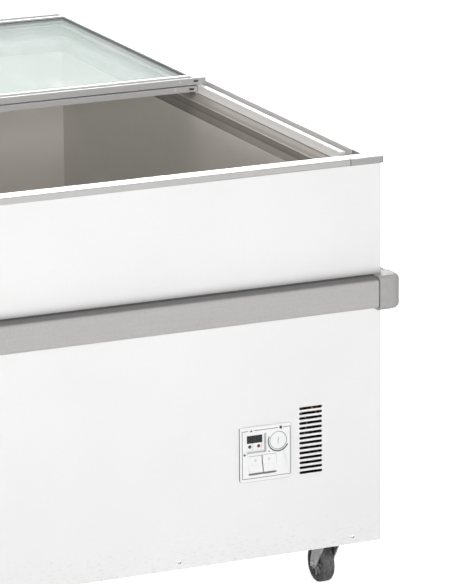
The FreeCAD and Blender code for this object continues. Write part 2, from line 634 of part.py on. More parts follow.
def lid_stile(label, side, outline):
    turn, at, _ = SIDES[side]
    body = section_bar(label, outline, "lid_length")
    put(body, at[0], LID_MIDDLE, "cabinet_height", turn=turn)
    piece(body, label)


def lid_end(label, turn, at_y, half_length, top, bottom):
    """End bar of a lid: local X points out of the lid, with a finger groove across its top."""
    slot_top = f"({top} - glass_cover)"
    slot_low = f"({slot_top} - glass_thickness - 2 * glass_edge)"
    grip = f"({top} - grip_depth)"
    depth, back = "lid_end_depth", "(lid_end_depth - end_slot_depth)"
    outline = [("0", bottom), ("0", f"{top} - 1"), ("-1", top), ("-grip_inset", top),
               ("-grip_inset - grip_slope", grip), ("-grip_inset - grip_width", grip),
               ("-grip_inset - grip_width - grip_slope", top), (f"-{depth}", top),
               (f"-{depth}", slot_top), (f"-{back}", slot_top), (f"-{back}", slot_low),
               (f"-{depth}", slot_low), (f"-{depth}", bottom)]
    body = section_bar(label, outline, f"2 * ({half_length} - glass_edge)")
    put(body, "0", at_y, "cabinet_height", turn=turn)
    piece(body, label)


def lid_glass(label, inner, top):
    """The pane, held in the slots of the stiles and end bars."""
    x = f"({RIM_X} - {inner} + slot_depth - glass_play)"
    y = "(lid_length / 2 - lid_end_depth + end_slot_depth - glass_play)"
    high = f"cabinet_height + {top} - glass_cover - glass_edge"
    low = (f"-{x}", f"{LID_MIDDLE} - {y}", f"{high} - glass_thickness")
    piece(block(label, low, (x, f"{LID_MIDDLE} + {y}", high)), label)


def lid(name, outer, inner, top, bottom, foot):
    """One lid: pane, two stiles that run on the rails or ledges, and two end bars."""
    outline = lid_section(outer, inner, top, bottom) + foot
    for side in ("left", "right"):
        lid_stile(f"{name}_stile_{side}", side, outline)
    half = f"({RIM_X} - {inner})"
    lid_end(f"{name}_end_far", 90, f"{LID_MIDDLE} + lid_length / 2", half, top, bottom)
    lid_end(f"{name}_end_near", 270, f"{LID_MIDDLE} - lid_length / 2", half, top, bottom)
    lid_glass(f"{name}_glass", inner, top)


def lids():
    upper_bottom = "(-rail_top_drop + upper_lid_gap)"
    skirt = "-upper_stile_outer - stile_skirt"
    upper_foot = [(skirt, upper_bottom), (skirt, "-stile_skirt_drop"),
                  ("-upper_stile_outer", "-stile_skirt_drop")]
    lid("upper_lid", "upper_stile_outer", "upper_stile_inner", "upper_lid_rise", upper_bottom, upper_foot)
    lower_bottom = "(-lower_lid_drop - lower_lid_height)"
    runner = "-ledge_drop + upper_lid_gap"
    foot_edge = "-lower_stile_outer - runner_width"
    lower_foot = [(foot_edge, lower_bottom), (foot_edge, runner), ("-lower_stile_outer", runner)]
    lid("lower_lid", "lower_stile_outer", "lower_stile_inner", "(-lower_lid_drop)", lower_bottom,
        lower_foot)


# ---------------------------------------------------------------- control panel

def on_bezel(item, x="0", y="0", z="0", turn=0, about=Vector(0, 0, 1)):
    """Places an item from the middle of the bezel on the cabinet's end face."""
    return put(item, f"bezel_x + {x}", f"-body_length / 2 + {y}", f"bezel_z + {z}", turn, about)


def bezel():
    body = doc.addObject("PartDesign::Body", "control_bezel")
    face = drawing_on(body, "XZ_Plane", "bezel_face")
    add_rectangle(face, "0", "0", "bezel_width", "bezel_height")
    pad(body, face, "bezel_rise")
    half_x, rise = value("bezel_width") / 2, value("bezel_rise")
    round_edges(body, "bezel_corner", lambda edge: runs_along(edge, Vector(0, 1, 0)))
    round_edges(body, "bezel_round", lambda edge: abs(edge.CenterOfMass.y + rise) < 0.01)
    back = drawing_on(body, "XZ_Plane", "bezel_back")
    add_rectangle(back, "0", "0", "(bezel_width - 2 * cutout_inset - 2 * cutout_fit)",
                  "(bezel_height - 2 * cutout_inset - 2 * cutout_fit)")
    pad(body, back, "bezel_back", reverse=True)
    holes = drawing_on(body, "XZ_Plane", "bezel_holes")
    add_rectangle(holes, "recess_x", "recess_z", "recess_width", "recess_height")
    add_circle(holes, "dial_x", "dial_z", "(dial_radius + dial_gap)")
    add_rectangle(holes, "rocker_x", "rocker_z", "well_width", "well_height")
    pocket(body, holes, "2 * (bezel_rise + bezel_back)", symmetric=True)
    on_bezel(body)
    piece(body, "control_bezel")


def display():
    """Recessed module with its window and the green and red lamps."""
    body = doc.addObject("PartDesign::Body", "display_module")
    front = "(recess_depth - bezel_rise)"
    face = drawing_on(body, "XZ_Plane", "module_face", f"-{front}")
    add_rectangle(face, "recess_x", "recess_z", "(recess_width - 2 * module_fit)",
                  "(recess_height - 2 * module_fit)")
    pad(body, face, "module_depth", reverse=True)
    seats = drawing_on(body, "XZ_Plane", "module_seats", f"-{front}")
    add_rectangle(seats, "window_x", "window_z", "(window_width + 2 * seat_fit)",
                  "(window_height + 2 * seat_fit)")
    add_circle(seats, "green_lamp_x", "lamp_z", "lamp_radius + seat_fit")
    add_circle(seats, "red_lamp_x", "lamp_z", "lamp_radius + seat_fit")
    pocket(body, seats, "seat_depth")
    on_bezel(body)
    piece(body, "display_module")
    x, z, face_y = "bezel_x + window_x", "bezel_z + window_z", f"-body_length / 2 + {front}"
    window = block("display_window",
                   (f"{x} - window_width / 2", f"{face_y} + window_set", f"{z} - window_height / 2"),
                   (f"{x} + window_width / 2", f"{face_y} + seat_depth", f"{z} + window_height / 2"))
    piece(window, "display_window")
    for colour in ("green", "red"):
        lens = doc.addObject("PartDesign::Body", f"{colour}_lamp")
        disc = drawing_on(lens, "XZ_Plane", f"{colour}_lens_disc", f"-({front} + seat_depth)")
        add_circle(disc, "0", "0", "lamp_radius")
        pad(lens, disc, "lens_height")
        round_edges(lens, "lens_round", lambda edge: edge.CenterOfMass.y < value(front))
        on_bezel(lens, f"{colour}_lamp_x", "0", "lamp_z")
        piece(lens, f"{colour}_lamp")


def thermostat():
    body = doc.addObject("PartDesign::Body", "thermostat_dial")
    disc = drawing_on(body, "XZ_Plane", "dial_disc")
    add_circle(disc, "0", "0", "dial_radius")
    pad(body, disc, "dial_thickness", reverse=True)
    round_edges(body, "dial_round", lambda edge: abs(edge.CenterOfMass.y) < 0.01)
    coin = drawing_on(body, "XZ_Plane", "coin_slot")
    add_slot(coin, "0", "0", "coin_slot_length", "coin_slot_width")
    pocket(body, coin, "coin_slot_depth")
    shaft = drawing_on(body, "XZ_Plane", "dial_shaft_end", "-dial_thickness")
    add_circle(shaft, "0", "0", "dial_shaft")
    pad(body, shaft, "shaft_length", reverse=True)
    on_bezel(body, "dial_x", "-bezel_rise + dial_set", "dial_z", value("dial_turn"), Vector(0, 1, 0))
    piece(body, "thermostat_dial")

    case = doc.addObject("PartDesign::Body", "thermostat_body")
    square = drawing_on(case, "XZ_Plane", "thermostat_square", "-(bezel_back + panel_gap)")
    add_rectangle(square, "0", "0", "thermostat_case", "thermostat_case")
    pad(case, square, "thermostat_depth", reverse=True)
    hole = drawing_on(case, "XZ_Plane", "thermostat_hole", "-(bezel_back + panel_gap)")
    add_circle(hole, "0", "0", "(dial_shaft + shaft_fit)")
    pocket(case, hole, "thermostat_bore")
    on_bezel(case, "dial_x", "0", "dial_z")
    piece(case, "thermostat_body")


def rocker(label, offset):
    """Rocker with a shallow V face, turned about its cross pin so that its top is pressed in."""
    body = doc.addObject("PartDesign::Body", label)
    side = drawing_on(body, "YZ_Plane", label + "_side")
    add_outline(side, [("-rocker_face", "rocker_half"), ("-rocker_valley", "0"),
                       ("-rocker_face", "-rocker_half"), ("-rocker_side", "-rocker_half"),
                       ("rocker_back", "-rocker_tail"), ("rocker_back", "rocker_tail"),
                       ("-rocker_side", "rocker_half")])
    add_circle(side, "0", "0", "(rocker_pin + shaft_fit)")
    pad(body, side, "rocker_width", symmetric=True)
    across, front = Vector(1, 0, 0), -value("rocker_face")
    round_edges(body, "rocker_round",
                lambda edge: runs_along(edge, across) and abs(edge.CenterOfMass.y - front) < 0.01)
    on_bezel(body, f"rocker_x + {offset}", "rocker_pivot", "rocker_z", -value("rocker_tilt"), across)
    piece(body, label)


def switches():
    offset = "(rocker_width / 2 + rocker_web / 2 + rocker_play)"
    rocker("main_rocker", f"-{offset}")
    rocker("light_rocker", offset)
    back, pivot = "-body_length / 2 + bezel_back + panel_gap", "-body_length / 2 + rocker_pivot"
    x, z = "bezel_x + rocker_x", "bezel_z + rocker_z"
    half_x, half_z = "well_width / 2", "well_height / 2"
    case = block("switch_case", (f"{x} - {half_x} - switch_wall", back, f"{z} - {half_z} - switch_wall"),
                 (f"{x} + {half_x} + switch_wall", f"{back} + switch_depth",
                  f"{z} + {half_z} + switch_wall"))
    hollow = block("switch_space", (f"{x} - {half_x}", back, f"{z} - {half_z}"),
                   (f"{x} + {half_x}", f"{back} + switch_hollow", f"{z} + {half_z}"))
    web = block("switch_web",
                (f"{x} - rocker_web / 2", f"{pivot} - 2 * rocker_pin", f"{z} - web_half_height"),
                (f"{x} + rocker_web / 2", f"{back} + switch_hollow", f"{z} + web_half_height"))
    pin = rod("switch_pin", "rocker_pin", "well_width - 2 * pin_play",
              (f"{x} - {half_x} + pin_play", pivot, z), 90, Vector(0, 1, 0))
    piece(fuse("switch_housing", [cut("switch_box", case, hollow), web, pin]), "switch_housing")


# ---------------------------------------------------------------- refrigeration

def compressor():
    body = doc.addObject("PartDesign::Body", "compressor")
    round_plan = drawing_on(body, "XY_Plane", "compressor_plan", "compressor_lift")
    add_circle(round_plan, "0", "0", "compressor_radius")
    pad(body, round_plan, "compressor_height")
    round_edges(body, "compressor_radius / 2", lambda edge: edge.Curve.TypeId == "Part::GeomCircle")
    foot = drawing_on(body, "XY_Plane", "compressor_foot", "compressor_lift + foot_rise")
    add_rectangle(foot, "0", "0", "foot_length", "foot_width")
    pad(body, foot, "foot_sheet")
    for number, (sign_x, sign_y) in enumerate(FOUR_SIGNS, start=1):
        grommet = drawing_on(body, "XY_Plane", f"grommet_{number}")
        add_circle(grommet, f"{sign_x} * (foot_length / 2 - grommet_inset)",
                   f"{sign_y} * (foot_width / 2 - grommet_inset)", "grommet_radius")
        pad(body, grommet, "compressor_lift + grommet_stand")
    relay = drawing_on(body, "XZ_Plane", "relay_box", "compressor_radius - relay_sink")
    add_rectangle(relay, "0", "relay_z", "relay_width", "relay_height")
    pad(body, relay, "relay_depth")
    put(body, "compressor_x", "compressor_y", "base_height + tray_sheet")
    piece(body, "compressor")


def condenser():
    """Fin pack with a serpentine tube whose bends stand out of both ends."""
    width, depth = value("condenser_width"), value("condenser_depth")
    height, count = value("condenser_height"), DIMENSIONS["fin_count"]
    radius, rows = value("condenser_tube"), DIMENSIONS["tube_rows"]
    sheet_metal, tail, step = value("fin_sheet"), value("tube_end"), height / rows
    fins = []
    for i in range(count):
        corner = Vector(width * (i / (count - 1) - 0.5) - sheet_metal / 2, -depth / 2, 0)
        fins.append(Part.makeBox(sheet_metal, depth, height, corner))
    reach = width / 2 + value("bend_reach")
    points = [(-reach - tail, -depth / 4, step / 2)]
    for row in range(rows):
        end = reach if row % 2 == 0 else -reach
        level = step * (row + 0.5)
        points += [(end, -depth / 4, level)]
        if row < rows - 1:
            points += [(end, -depth / 4, level + step)]
    points[-1] = (-reach - tail, -depth / 4, step * (rows - 0.5))
    pipe = tube(points, radius, step * 0.42)
    pack = doc.addObject("Part::Feature", "condenser")
    pack.Shape = pipe.fuse(fins)
    put(pack, "condenser_x", "condenser_y", "base_height + tray_sheet + condenser_lift")
    piece(pack, "condenser")


def fan():
    """Fan on its motor's axis, blowing from the condenser towards the compressor."""
    middle = ("condenser_x", "fan_y", "base_height + fan_height")
    centre, forward, half_hub = Vector(0, 0, 0), Vector(0, 1, 0), value("hub_length / 2")
    hub = Part.makeCylinder(value("fan_hub"), 2 * half_hub, centre, forward)
    shaft = Part.makeCylinder(value("fan_shaft"), value("fan_shaft_length"), forward * half_hub, forward)
    chord, thickness, root = value("blade_chord"), value("blade_sheet"), value("fan_hub - blade_sink")
    blades = []
    for i in range(DIMENSIONS["blade_count"]):
        corner = Vector(-chord / 2, -thickness / 2, root)
        blade = Part.makeBox(chord, thickness, value("fan_radius") - root, corner)
        blade.rotate(centre, Vector(0, 0, 1), value("blade_pitch"))
        blade.translate(forward * half_hub)
        blade.rotate(centre, forward, 360 / DIMENSIONS["blade_count"] * i)
        blades.append(blade)
    wheel = doc.addObject("Part::Feature", "fan_blade")
    wheel.Shape = hub.fuse([shaft] + blades)
    put(wheel, *middle)
    piece(wheel, "fan_blade")

    start, across = (middle[0], "fan_y + motor_gap", middle[2]), Vector(1, 0, 0)
    can = rod("motor_can", "motor_radius", "motor_length", start, -90, across)
    bore = rod("motor_hole", "fan_shaft + shaft_fit", "motor_bore", start, -90, across)
    half, foot_y = "motor_foot_width / 2", "fan_y + motor_foot_start"
    foot = block("motor_foot", (f"condenser_x - {half}", foot_y, "base_height + tray_sheet"),
                 (f"condenser_x + {half}", f"{foot_y} + foot_sheet", middle[2]))
    piece(cut("fan_motor", fuse("motor_solid", [can, foot]), bore), "fan_motor")


def pipework():
    """Discharge, liquid and suction pipes, with the drier in the liquid pipe."""
    x, y = value("compressor_x"), value("compressor_y") + 10
    shell = value("compressor_radius") - value("pipe_radius")
    base, ceiling = value("base_height + tray_sheet"), value("bay_ceiling")
    side = value("condenser_x - condenser_width / 2 - bend_reach - tube_end")
    row_y = value("condenser_y - condenser_depth / 4")
    half_step = value("condenser_height / tube_rows / 2")
    low = base + value("condenser_lift") + half_step
    high = low + value("condenser_height") - 2 * half_step
    out_z, back_z = base + value("discharge_z"), base + value("suction_z")
    setback, lifted = side - value("drier_setback"), low + value("liquid_rise")
    discharge = [(x + shell, y, out_z), (x + 130, y, out_z), (x + 130, row_y, out_z),
                 (side - 22, row_y, high), (side, row_y, high)]
    liquid = [(side, row_y, low), (setback, row_y, low), (setback, y + 80, lifted),
              (x + 60, y + 100, lifted), (x + 60, y + 100, ceiling)]
    suction = [(x - shell, y, back_z), (x - 120, y, back_z), (x - 120, y + 50, back_z),
               (x - 120, y + 50, ceiling)]
    radius, bend = value("pipe_radius"), value("pipe_bend")
    runs = [tube(points, radius, bend) for points in (discharge, liquid, suction)]
    slope = Vector(*liquid[2]) - Vector(*liquid[1])
    drier = Part.makeCylinder(value("drier_radius"), value("drier_length"),
                              Vector(*liquid[1]) + slope * 0.13, slope)
    runs[1] = runs[1].fuse(drier)
    pipes = doc.addObject("Part::Feature", "refrigerant_pipes")
    pipes.Shape = Part.makeCompound(runs)
    piece(pipes, "refrigerant_pipes")


def cable_gland():
    """Gland for the supply lead, through the right side panel."""
    face, at = "body_width / 2", ("gland_y", "gland_z")
    start, sideways = (f"{face} - gland_reach", *at), Vector(0, 1, 0)
    flange = rod("gland_flange", "gland_radius + gland_brim", "gland_rise", (face, *at), 90, sideways)
    neck = rod("gland_neck", "gland_radius - gland_fit", "gland_reach", start, 90, sideways)
    bore = rod("gland_hollow", "gland_bore", "gland_reach + gland_rise", start, 90, sideways)
    piece(cut("cable_gland", fuse("gland_solid", [flange, neck]), bore), "cable_gland")


# ---------------------------------------------------------------- castors

def castor_place(number):
    sign_x, sign_y = FOUR_SIGNS[number - 1]
    return (f"{sign_x} * (body_width / 2 - castor_inset_x)",
            f"{sign_y} * (body_length / 2 - castor_inset_y)")


def castor_plate(number):
    """Mounting plate with the raceway collar under it, and its four bolt heads."""
    name, (x, y) = f"castor_plate_{number}", castor_place(number)
    half, top = "castor_plate_size / 2", "base_height"
    plate = block(name + "_flat", (f"{x} - {half}", f"{y} - {half}", f"{top} - castor_plate"),
                  (f"{x} + {half}", f"{y} + {half}", top))
    collar = rod(name + "_collar", "castor_collar", "castor_collar_height",
                 (x, y, f"{top} - castor_plate - castor_collar_height"))
    hole = rod(name + "_hole", "kingpin_radius + shaft_fit", "kingpin_bore",
               (x, y, f"{top} - kingpin_bore"))
    bolts = []
    for i, (sign_x, sign_y) in enumerate(FOUR_SIGNS):
        at = (f"{x} + {sign_x} * bolt_spacing", f"{y} + {sign_y} * bolt_spacing",
              f"{top} - castor_plate - bolt_head")
        bolts.append(rod(f"{name}_bolt{i}", "bolt_radius", "bolt_head", at))
    return fuse(name, [cut(name + "_bored", fuse(name + "_solid", [plate, collar]), hole)] + bolts)


def castor_fork(number):
    """Crown, kingpin, two side plates and the axle, with the wheel trailing towards +Y."""
    name, (x, y) = f"castor_fork_{number}", castor_place(number)
    crown_top = "-(castor_plate + castor_collar_height + collar_gap)"
    axle_z = "(wheel_radius - base_height)"
    inside = "(wheel_width / 2 + fork_gap)"
    body = doc.addObject("PartDesign::Body", name)
    sides = drawing_on(body, "YZ_Plane", name + "_side")
    add_outline(sides, [("-fork_crown", crown_top), ("fork_crown", crown_top),
                        ("castor_trail + 11", axle_z + " + 4"), ("castor_trail + 11", axle_z + " - 8"),
                        ("castor_trail - 9", axle_z + " - 8"), ("-fork_crown", f"{crown_top} - fork_skirt")])
    pad(body, sides, f"2 * ({inside} + fork_plate)", symmetric=True)
    gap = drawing_on(body, "XZ_Plane", name + "_gap")
    add_outline(gap, [(f"-{inside}", "-base_height"), (inside, "-base_height"),
                      (inside, f"{crown_top} - fork_plate"), (f"-{inside}", f"{crown_top} - fork_plate")])
    pocket(body, gap, "4 * wheel_radius", symmetric=True)
    pin = drawing_on(body, "XY_Plane", name + "_kingpin", crown_top)
    add_circle(pin, "0", "0", "kingpin_radius")
    pad(body, pin, "castor_collar_height + 2")
    axle = drawing_on(body, "YZ_Plane", name + "_axle")
    add_circle(axle, "castor_trail", axle_z, "axle_radius")
    pad(body, axle, f"2 * ({inside} + fork_plate + axle_end)", symmetric=True)
    put(body, x, y, "base_height")
    piece(body, name)


def castor_wheel(number):
    name, (x, y) = f"castor_wheel_{number}", castor_place(number)
    body = doc.addObject("PartDesign::Body", name)
    disc = drawing_on(body, "YZ_Plane", name + "_disc")
    add_circle(disc, "0", "0", "wheel_radius")
    pad(body, disc, "wheel_width", symmetric=True)
    round_edges(body, "wheel_round", lambda edge: edge.Curve.TypeId == "Part::GeomCircle")
    bore = drawing_on(body, "YZ_Plane", name + "_bore")
    add_circle(bore, "0", "0", "(axle_radius + shaft_fit)")
    pocket(body, bore, "wheel_width * 2", symmetric=True)
    for side, reverse in (("1", False), ("-1", True)):
        dish = drawing_on(body, "YZ_Plane", f"{name}_dish{reverse}", f"{side} * wheel_width / 2")
        add_circle(dish, "0", "0", "wheel_radius - tyre_height")
        add_circle(dish, "0", "0", "axle_radius + wheel_boss")
        pocket(body, dish, "wheel_dish", reverse=reverse)
    put(body, x, f"{y} + castor_trail", "wheel_radius")
    piece(body, name)


def castors():
    group("castor_plates", [castor_plate(number) for number in range(1, 5)])
    for number in range(1, 5):
        castor_fork(number)
        castor_wheel(number)


# ---------------------------------------------------------------- build and write

def check_document():
    doc.recompute()
    for item in doc.Objects:
        if "Invalid" in item.State or "Error" in item.State:
            raise ValueError(f"{item.Name} failed: {item.State}")
    for item in PIECES:
        if item.Shape.isNull() or not item.Shape.isValid() or not item.Shape.Solids:
            raise ValueError(f"{item.Label} has no valid solid")


def write_parts():
    os.makedirs("parts", exist_ok=True)
    for old in os.listdir("parts"):
        if old.endswith(".step"):
            os.remove(os.path.join("parts", old))
    for item in PIECES:
        item.Shape.exportStep(f"parts/{item.Label}.step")
    print(len(PIECES), "parts written")


outer_cabinet()
base_tray()
storage_well()
evaporator_coil()
top_frame()
corner_caps()
bumpers()
lids()
bezel()
display()
thermostat()
switches()
compressor()
condenser()
fan()
pipework()
cable_gland()
castors()
check_document()
write_parts()
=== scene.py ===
import json
import math

import bmesh
import bpy
from mathutils import Matrix, Vector


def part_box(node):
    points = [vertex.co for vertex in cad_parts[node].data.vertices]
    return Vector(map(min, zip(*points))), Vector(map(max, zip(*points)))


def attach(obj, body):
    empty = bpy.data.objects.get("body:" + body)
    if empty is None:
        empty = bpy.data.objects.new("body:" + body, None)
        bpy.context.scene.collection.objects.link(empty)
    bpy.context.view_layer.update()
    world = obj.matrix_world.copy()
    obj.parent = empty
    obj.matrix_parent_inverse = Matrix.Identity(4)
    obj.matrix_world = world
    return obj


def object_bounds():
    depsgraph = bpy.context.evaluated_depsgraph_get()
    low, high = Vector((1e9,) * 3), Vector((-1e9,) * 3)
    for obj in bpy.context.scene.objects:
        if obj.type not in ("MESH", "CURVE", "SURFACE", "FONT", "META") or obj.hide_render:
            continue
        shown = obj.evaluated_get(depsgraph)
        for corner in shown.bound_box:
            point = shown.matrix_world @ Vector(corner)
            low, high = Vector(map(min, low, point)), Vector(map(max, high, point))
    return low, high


# Looks of the island display freezer: node materials for every CAD node, and the fine pieces round them.
# Everything is in metres in the CAD frame: +Z up, the control end faces -Y.

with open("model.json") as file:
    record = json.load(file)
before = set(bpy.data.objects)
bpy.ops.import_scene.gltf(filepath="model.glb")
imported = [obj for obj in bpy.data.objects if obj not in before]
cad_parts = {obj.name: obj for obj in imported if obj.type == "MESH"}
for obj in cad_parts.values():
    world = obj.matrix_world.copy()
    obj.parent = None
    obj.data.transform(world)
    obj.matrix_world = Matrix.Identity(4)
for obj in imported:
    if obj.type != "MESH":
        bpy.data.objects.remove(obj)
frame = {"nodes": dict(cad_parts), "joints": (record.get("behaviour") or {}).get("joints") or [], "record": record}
cad_low, cad_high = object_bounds()
MM = 0.001
SIDES = ("left", "right", "near", "far")
CASTORS = (1, 2, 3, 4)
LEDGE_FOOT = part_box("inner_liner")[1].z


# ---------------------------------------------------------------- node materials

class Nodes:
    """Short forms for the nodes of one tree."""

    def __init__(self, tree):
        self.tree = tree

    def add(self, kind, inputs=(), **settings):
        node = self.tree.nodes.new("ShaderNode" + kind)
        for name, value in settings.items():
            setattr(node, name, value)
        for name, value in inputs:
            self.feed(node.inputs[name], value)
        return node

    def feed(self, socket, value):
        if isinstance(value, bpy.types.NodeSocket):
            self.tree.links.new(value, socket)
        else:
            socket.default_value = value

    def spread(self, value, low, high, start=0.0, end=1.0):
        """Maps start..end of a pattern to low..high, held at both ends."""
        inputs = [("Value", value), ("From Min", start), ("From Max", end), ("To Min", low), ("To Max", high)]
        return self.add("MapRange", inputs).outputs["Result"]

    def calc(self, operation, *values):
        return self.add("Math", list(enumerate(values)), operation=operation).outputs[0]


class Look(Nodes):
    """A Principled material whose colour, roughness and bump come from patterns in object space."""

    def __init__(self, name, roughness=0.5, metallic=0.0, sockets=()):
        self.material = bpy.data.materials.new(name)
        self.material.use_nodes = True
        super().__init__(self.material.node_tree)
        self.shader = self.tree.nodes["Principled BSDF"]
        for socket, value in (("Roughness", roughness), ("Metallic", metallic), *sockets):
            self.shader.inputs[socket].default_value = value
        self.place = self.add("TexCoord").outputs["Object"]

    def scaled(self, size, stretch=(1, 1, 1)):
        scale = [s / size for s in stretch]
        return self.add("Mapping", [("Vector", self.place), ("Scale", scale)]).outputs["Vector"]

    def noise(self, size, stretch=(1, 1, 1), detail=3.0):
        """Cloudy pattern from 0 to 1 with features of this size in metres."""
        inputs = [("Vector", self.scaled(size, stretch)), ("Scale", 1.0), ("Detail", detail)]
        return self.add("TexNoise", inputs).outputs["Fac"]

    def cells(self, size, feature="F1", output="Distance"):
        inputs = [("Vector", self.scaled(size)), ("Scale", 1.0)]
        return self.add("TexVoronoi", inputs, feature=feature).outputs[output]

    def axis(self, letter):
        return self.add("SeparateXYZ", [("Vector", self.place)]).outputs[letter]

    def mix(self, factor, first, second):
        """Colour between two colours, each a tuple or a socket."""
        node = self.add("Mix", data_type="RGBA")
        sockets = [s for s in node.inputs if s.type == "RGBA"]
        self.feed(node.inputs[0], factor)
        for socket, colour in zip(sockets, (first, second)):
            self.feed(socket, colour if isinstance(colour, bpy.types.NodeSocket) else (*colour, 1))
        return [s for s in node.outputs if s.type == "RGBA"][0]

    def paint(self, colour):
        self.feed(self.shader.inputs["Base Color"], colour)

    def blend(self, factor, first, second):
        """Paints the surface between two colours."""
        self.paint(self.mix(factor, first, second))

    def rough(self, value):
        self.feed(self.shader.inputs["Roughness"], value)

    def matt(self, pattern, low, high):
        """Roughness from low to high over the middle of a cloudy pattern."""
        self.rough(self.spread(pattern, low, high, 0.3, 0.7))

    def bump(self, height, distance, strength=1.0):
        """Adds relief of this real height in metres, over any relief already there."""
        node = self.add("Bump", [("Height", height), ("Distance", distance), ("Strength", strength)])
        normal = self.shader.inputs["Normal"]
        if normal.is_linked:
            self.tree.links.new(normal.links[0].from_socket, node.inputs["Normal"])
        self.tree.links.new(node.outputs["Normal"], normal)


LOOKS = {}


def filed(*values, **settings):
    """Runs the function below on a new look, and files its material under the function's name."""
    def make(draw):
        look = Look(draw.__name__, *values, **settings)
        draw(look)
        LOOKS[draw.__name__] = look.material
        return draw
    return make


@filed(0.4, sockets=[("Coat Weight", 0.15), ("Coat Roughness", 0.2)])
def white_steel(look):
    """Coated sheet with fine orange peel, scuffed near the floor, with painted shade on the wall just above the
    bumper.
    """
    cloud = look.noise(0.22, detail=2)
    colour = look.mix(look.spread(cloud, 0, 1, 0.3, 0.7), (0.745, 0.743, 0.743), (0.772, 0.77, 0.77))
    grain = look.noise(0.0035, detail=2)
    colour = look.mix(look.spread(grain, 0, 0.22, 0.35, 0.75), colour, (0.69, 0.688, 0.688))
    # Painted shade: the sheet darkens towards the bumper's top, over 24 mm above it and behind it, as the shadow
    # where bumper and wall meet.
    top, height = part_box("bumper_near")[1].z + 2 * MM, look.axis("Z")
    contact_shade = look.calc("POWER", look.spread(height, 1, 0, top, top + 24 * MM), 3)
    contact_shade = look.calc("MULTIPLY", contact_shade, look.spread(height, 0, 0.8, top - 20 * MM, top - 19 * MM))
    colour = look.mix(contact_shade, colour, (0.12, 0.117, 0.115))
    low = look.spread(look.axis("Z"), 0.5, 0, cad_low.z + 0.10, cad_low.z + 0.19)
    scuff = look.spread(look.noise(0.012, (1, 1, 3), 6), 0, 1, 0.56, 0.72)
    look.blend(look.calc("MULTIPLY", low, scuff), colour, (0.5, 0.49, 0.47))
    look.matt(look.noise(0.03), 0.34, 0.46)
    look.bump(look.noise(0.0022, detail=1), 0.00005)
    look.bump(look.noise(0.3, detail=1), 0.0006, 0.5)


@filed(0.42, 0.85)
def galvanised_steel(look):
    """Zinc coating with visible crystals."""
    spangle = look.cells(0.011, output="Color")
    shade = look.add("RGBToBW", [("Color", spangle)]).outputs["Val"]
    look.blend(shade, (0.47, 0.48, 0.49), (0.66, 0.67, 0.68))
    look.rough(look.spread(shade, 0.3, 0.55, 0.2, 0.8))
    look.bump(look.noise(0.004), 0.00006)


@filed(0.95)
def insulation_foam(look):
    """Cut rigid foam with small open cells."""
    look.blend(look.noise(0.03), (0.60, 0.47, 0.23), (0.74, 0.62, 0.36))
    look.bump(look.cells(0.0016), 0.0006)


@filed(0.38, sockets=[("Coat Weight", 0.1), ("Coat Roughness", 0.3)])
def liner_sheet(look):
    """Light grey coated sheet with a soft lengthwise haze and rime near the well's floor."""
    haze = look.noise(0.16, (0.35, 0.35, 1), 4)
    colour = look.mix(look.spread(haze, 0, 1, 0.3, 0.7), (0.70, 0.667, 0.625), (0.765, 0.728, 0.686))
    low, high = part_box("inner_liner")
    depth = look.spread(look.axis("Z"), 0.8, 0, low.z, low.z + 0.35 * (high.z - low.z))
    rime = look.spread(look.noise(0.006, detail=6), 0, 1, 0.5, 0.68)
    look.blend(look.calc("MULTIPLY", depth, rime), colour, (0.80, 0.82, 0.84))
    look.matt(look.noise(0.02), 0.3, 0.5)
    look.bump(look.noise(0.0018, detail=1), 0.00004)


@filed(0.3, 1.0)
def copper_tube(look):
    """Drawn copper, dulled in patches."""
    tarnish = look.spread(look.noise(0.014, detail=5), 0, 1, 0.42, 0.7)
    look.blend(tarnish, (0.80, 0.42, 0.24), (0.36, 0.17, 0.10))
    look.rough(look.spread(tarnish, 0.22, 0.5))


def anodised_aluminium(name, along, lip=None, tone=0.46, metallic=0.35):
    """Satin extrusion with die lines that run along one axis. Past the lip it is brighter and more matt."""
    stretch = [0.004 if letter == along else 1 for letter in "XYZ"]
    look = Look(name, 0.3, metallic)
    lines = look.noise(0.0007, stretch, 2)
    dark, light = [[tone * shade * tint for tint in (1.0, 0.99, 0.98)] for shade in (0.97, 1.03)]
    colour = look.mix(look.spread(lines, 0, 1, 0.3, 0.7), dark, light)
    if lip:
        across = look.calc("ABSOLUTE", look.axis("X" if along == "Y" else "Y"), 0)
        inner = look.spread(across, 1, 0, lip, lip + 0.5 * MM)
        colour = look.mix(inner, colour, (0.93, 0.925, 0.92))
        look.feed(look.shader.inputs["Metallic"], look.spread(inner, metallic, 0))
    look.paint(colour)
    look.matt(look.noise(0.004, stretch, 4), 0.26, 0.36)
    look.bump(lines, 0.00001)
    return look.material


@filed(0.36, 0.45, [("Specular IOR Level", 0.6)])
def cap_plastic(look):
    """Metallic-grey moulding with a spark-eroded grain."""
    grain = look.noise(0.0006, detail=2)
    look.blend(look.noise(0.02), (0.34, 0.336, 0.332), (0.375, 0.37, 0.366))
    look.matt(grain, 0.3, 0.42)
    look.bump(grain, 0.00005)


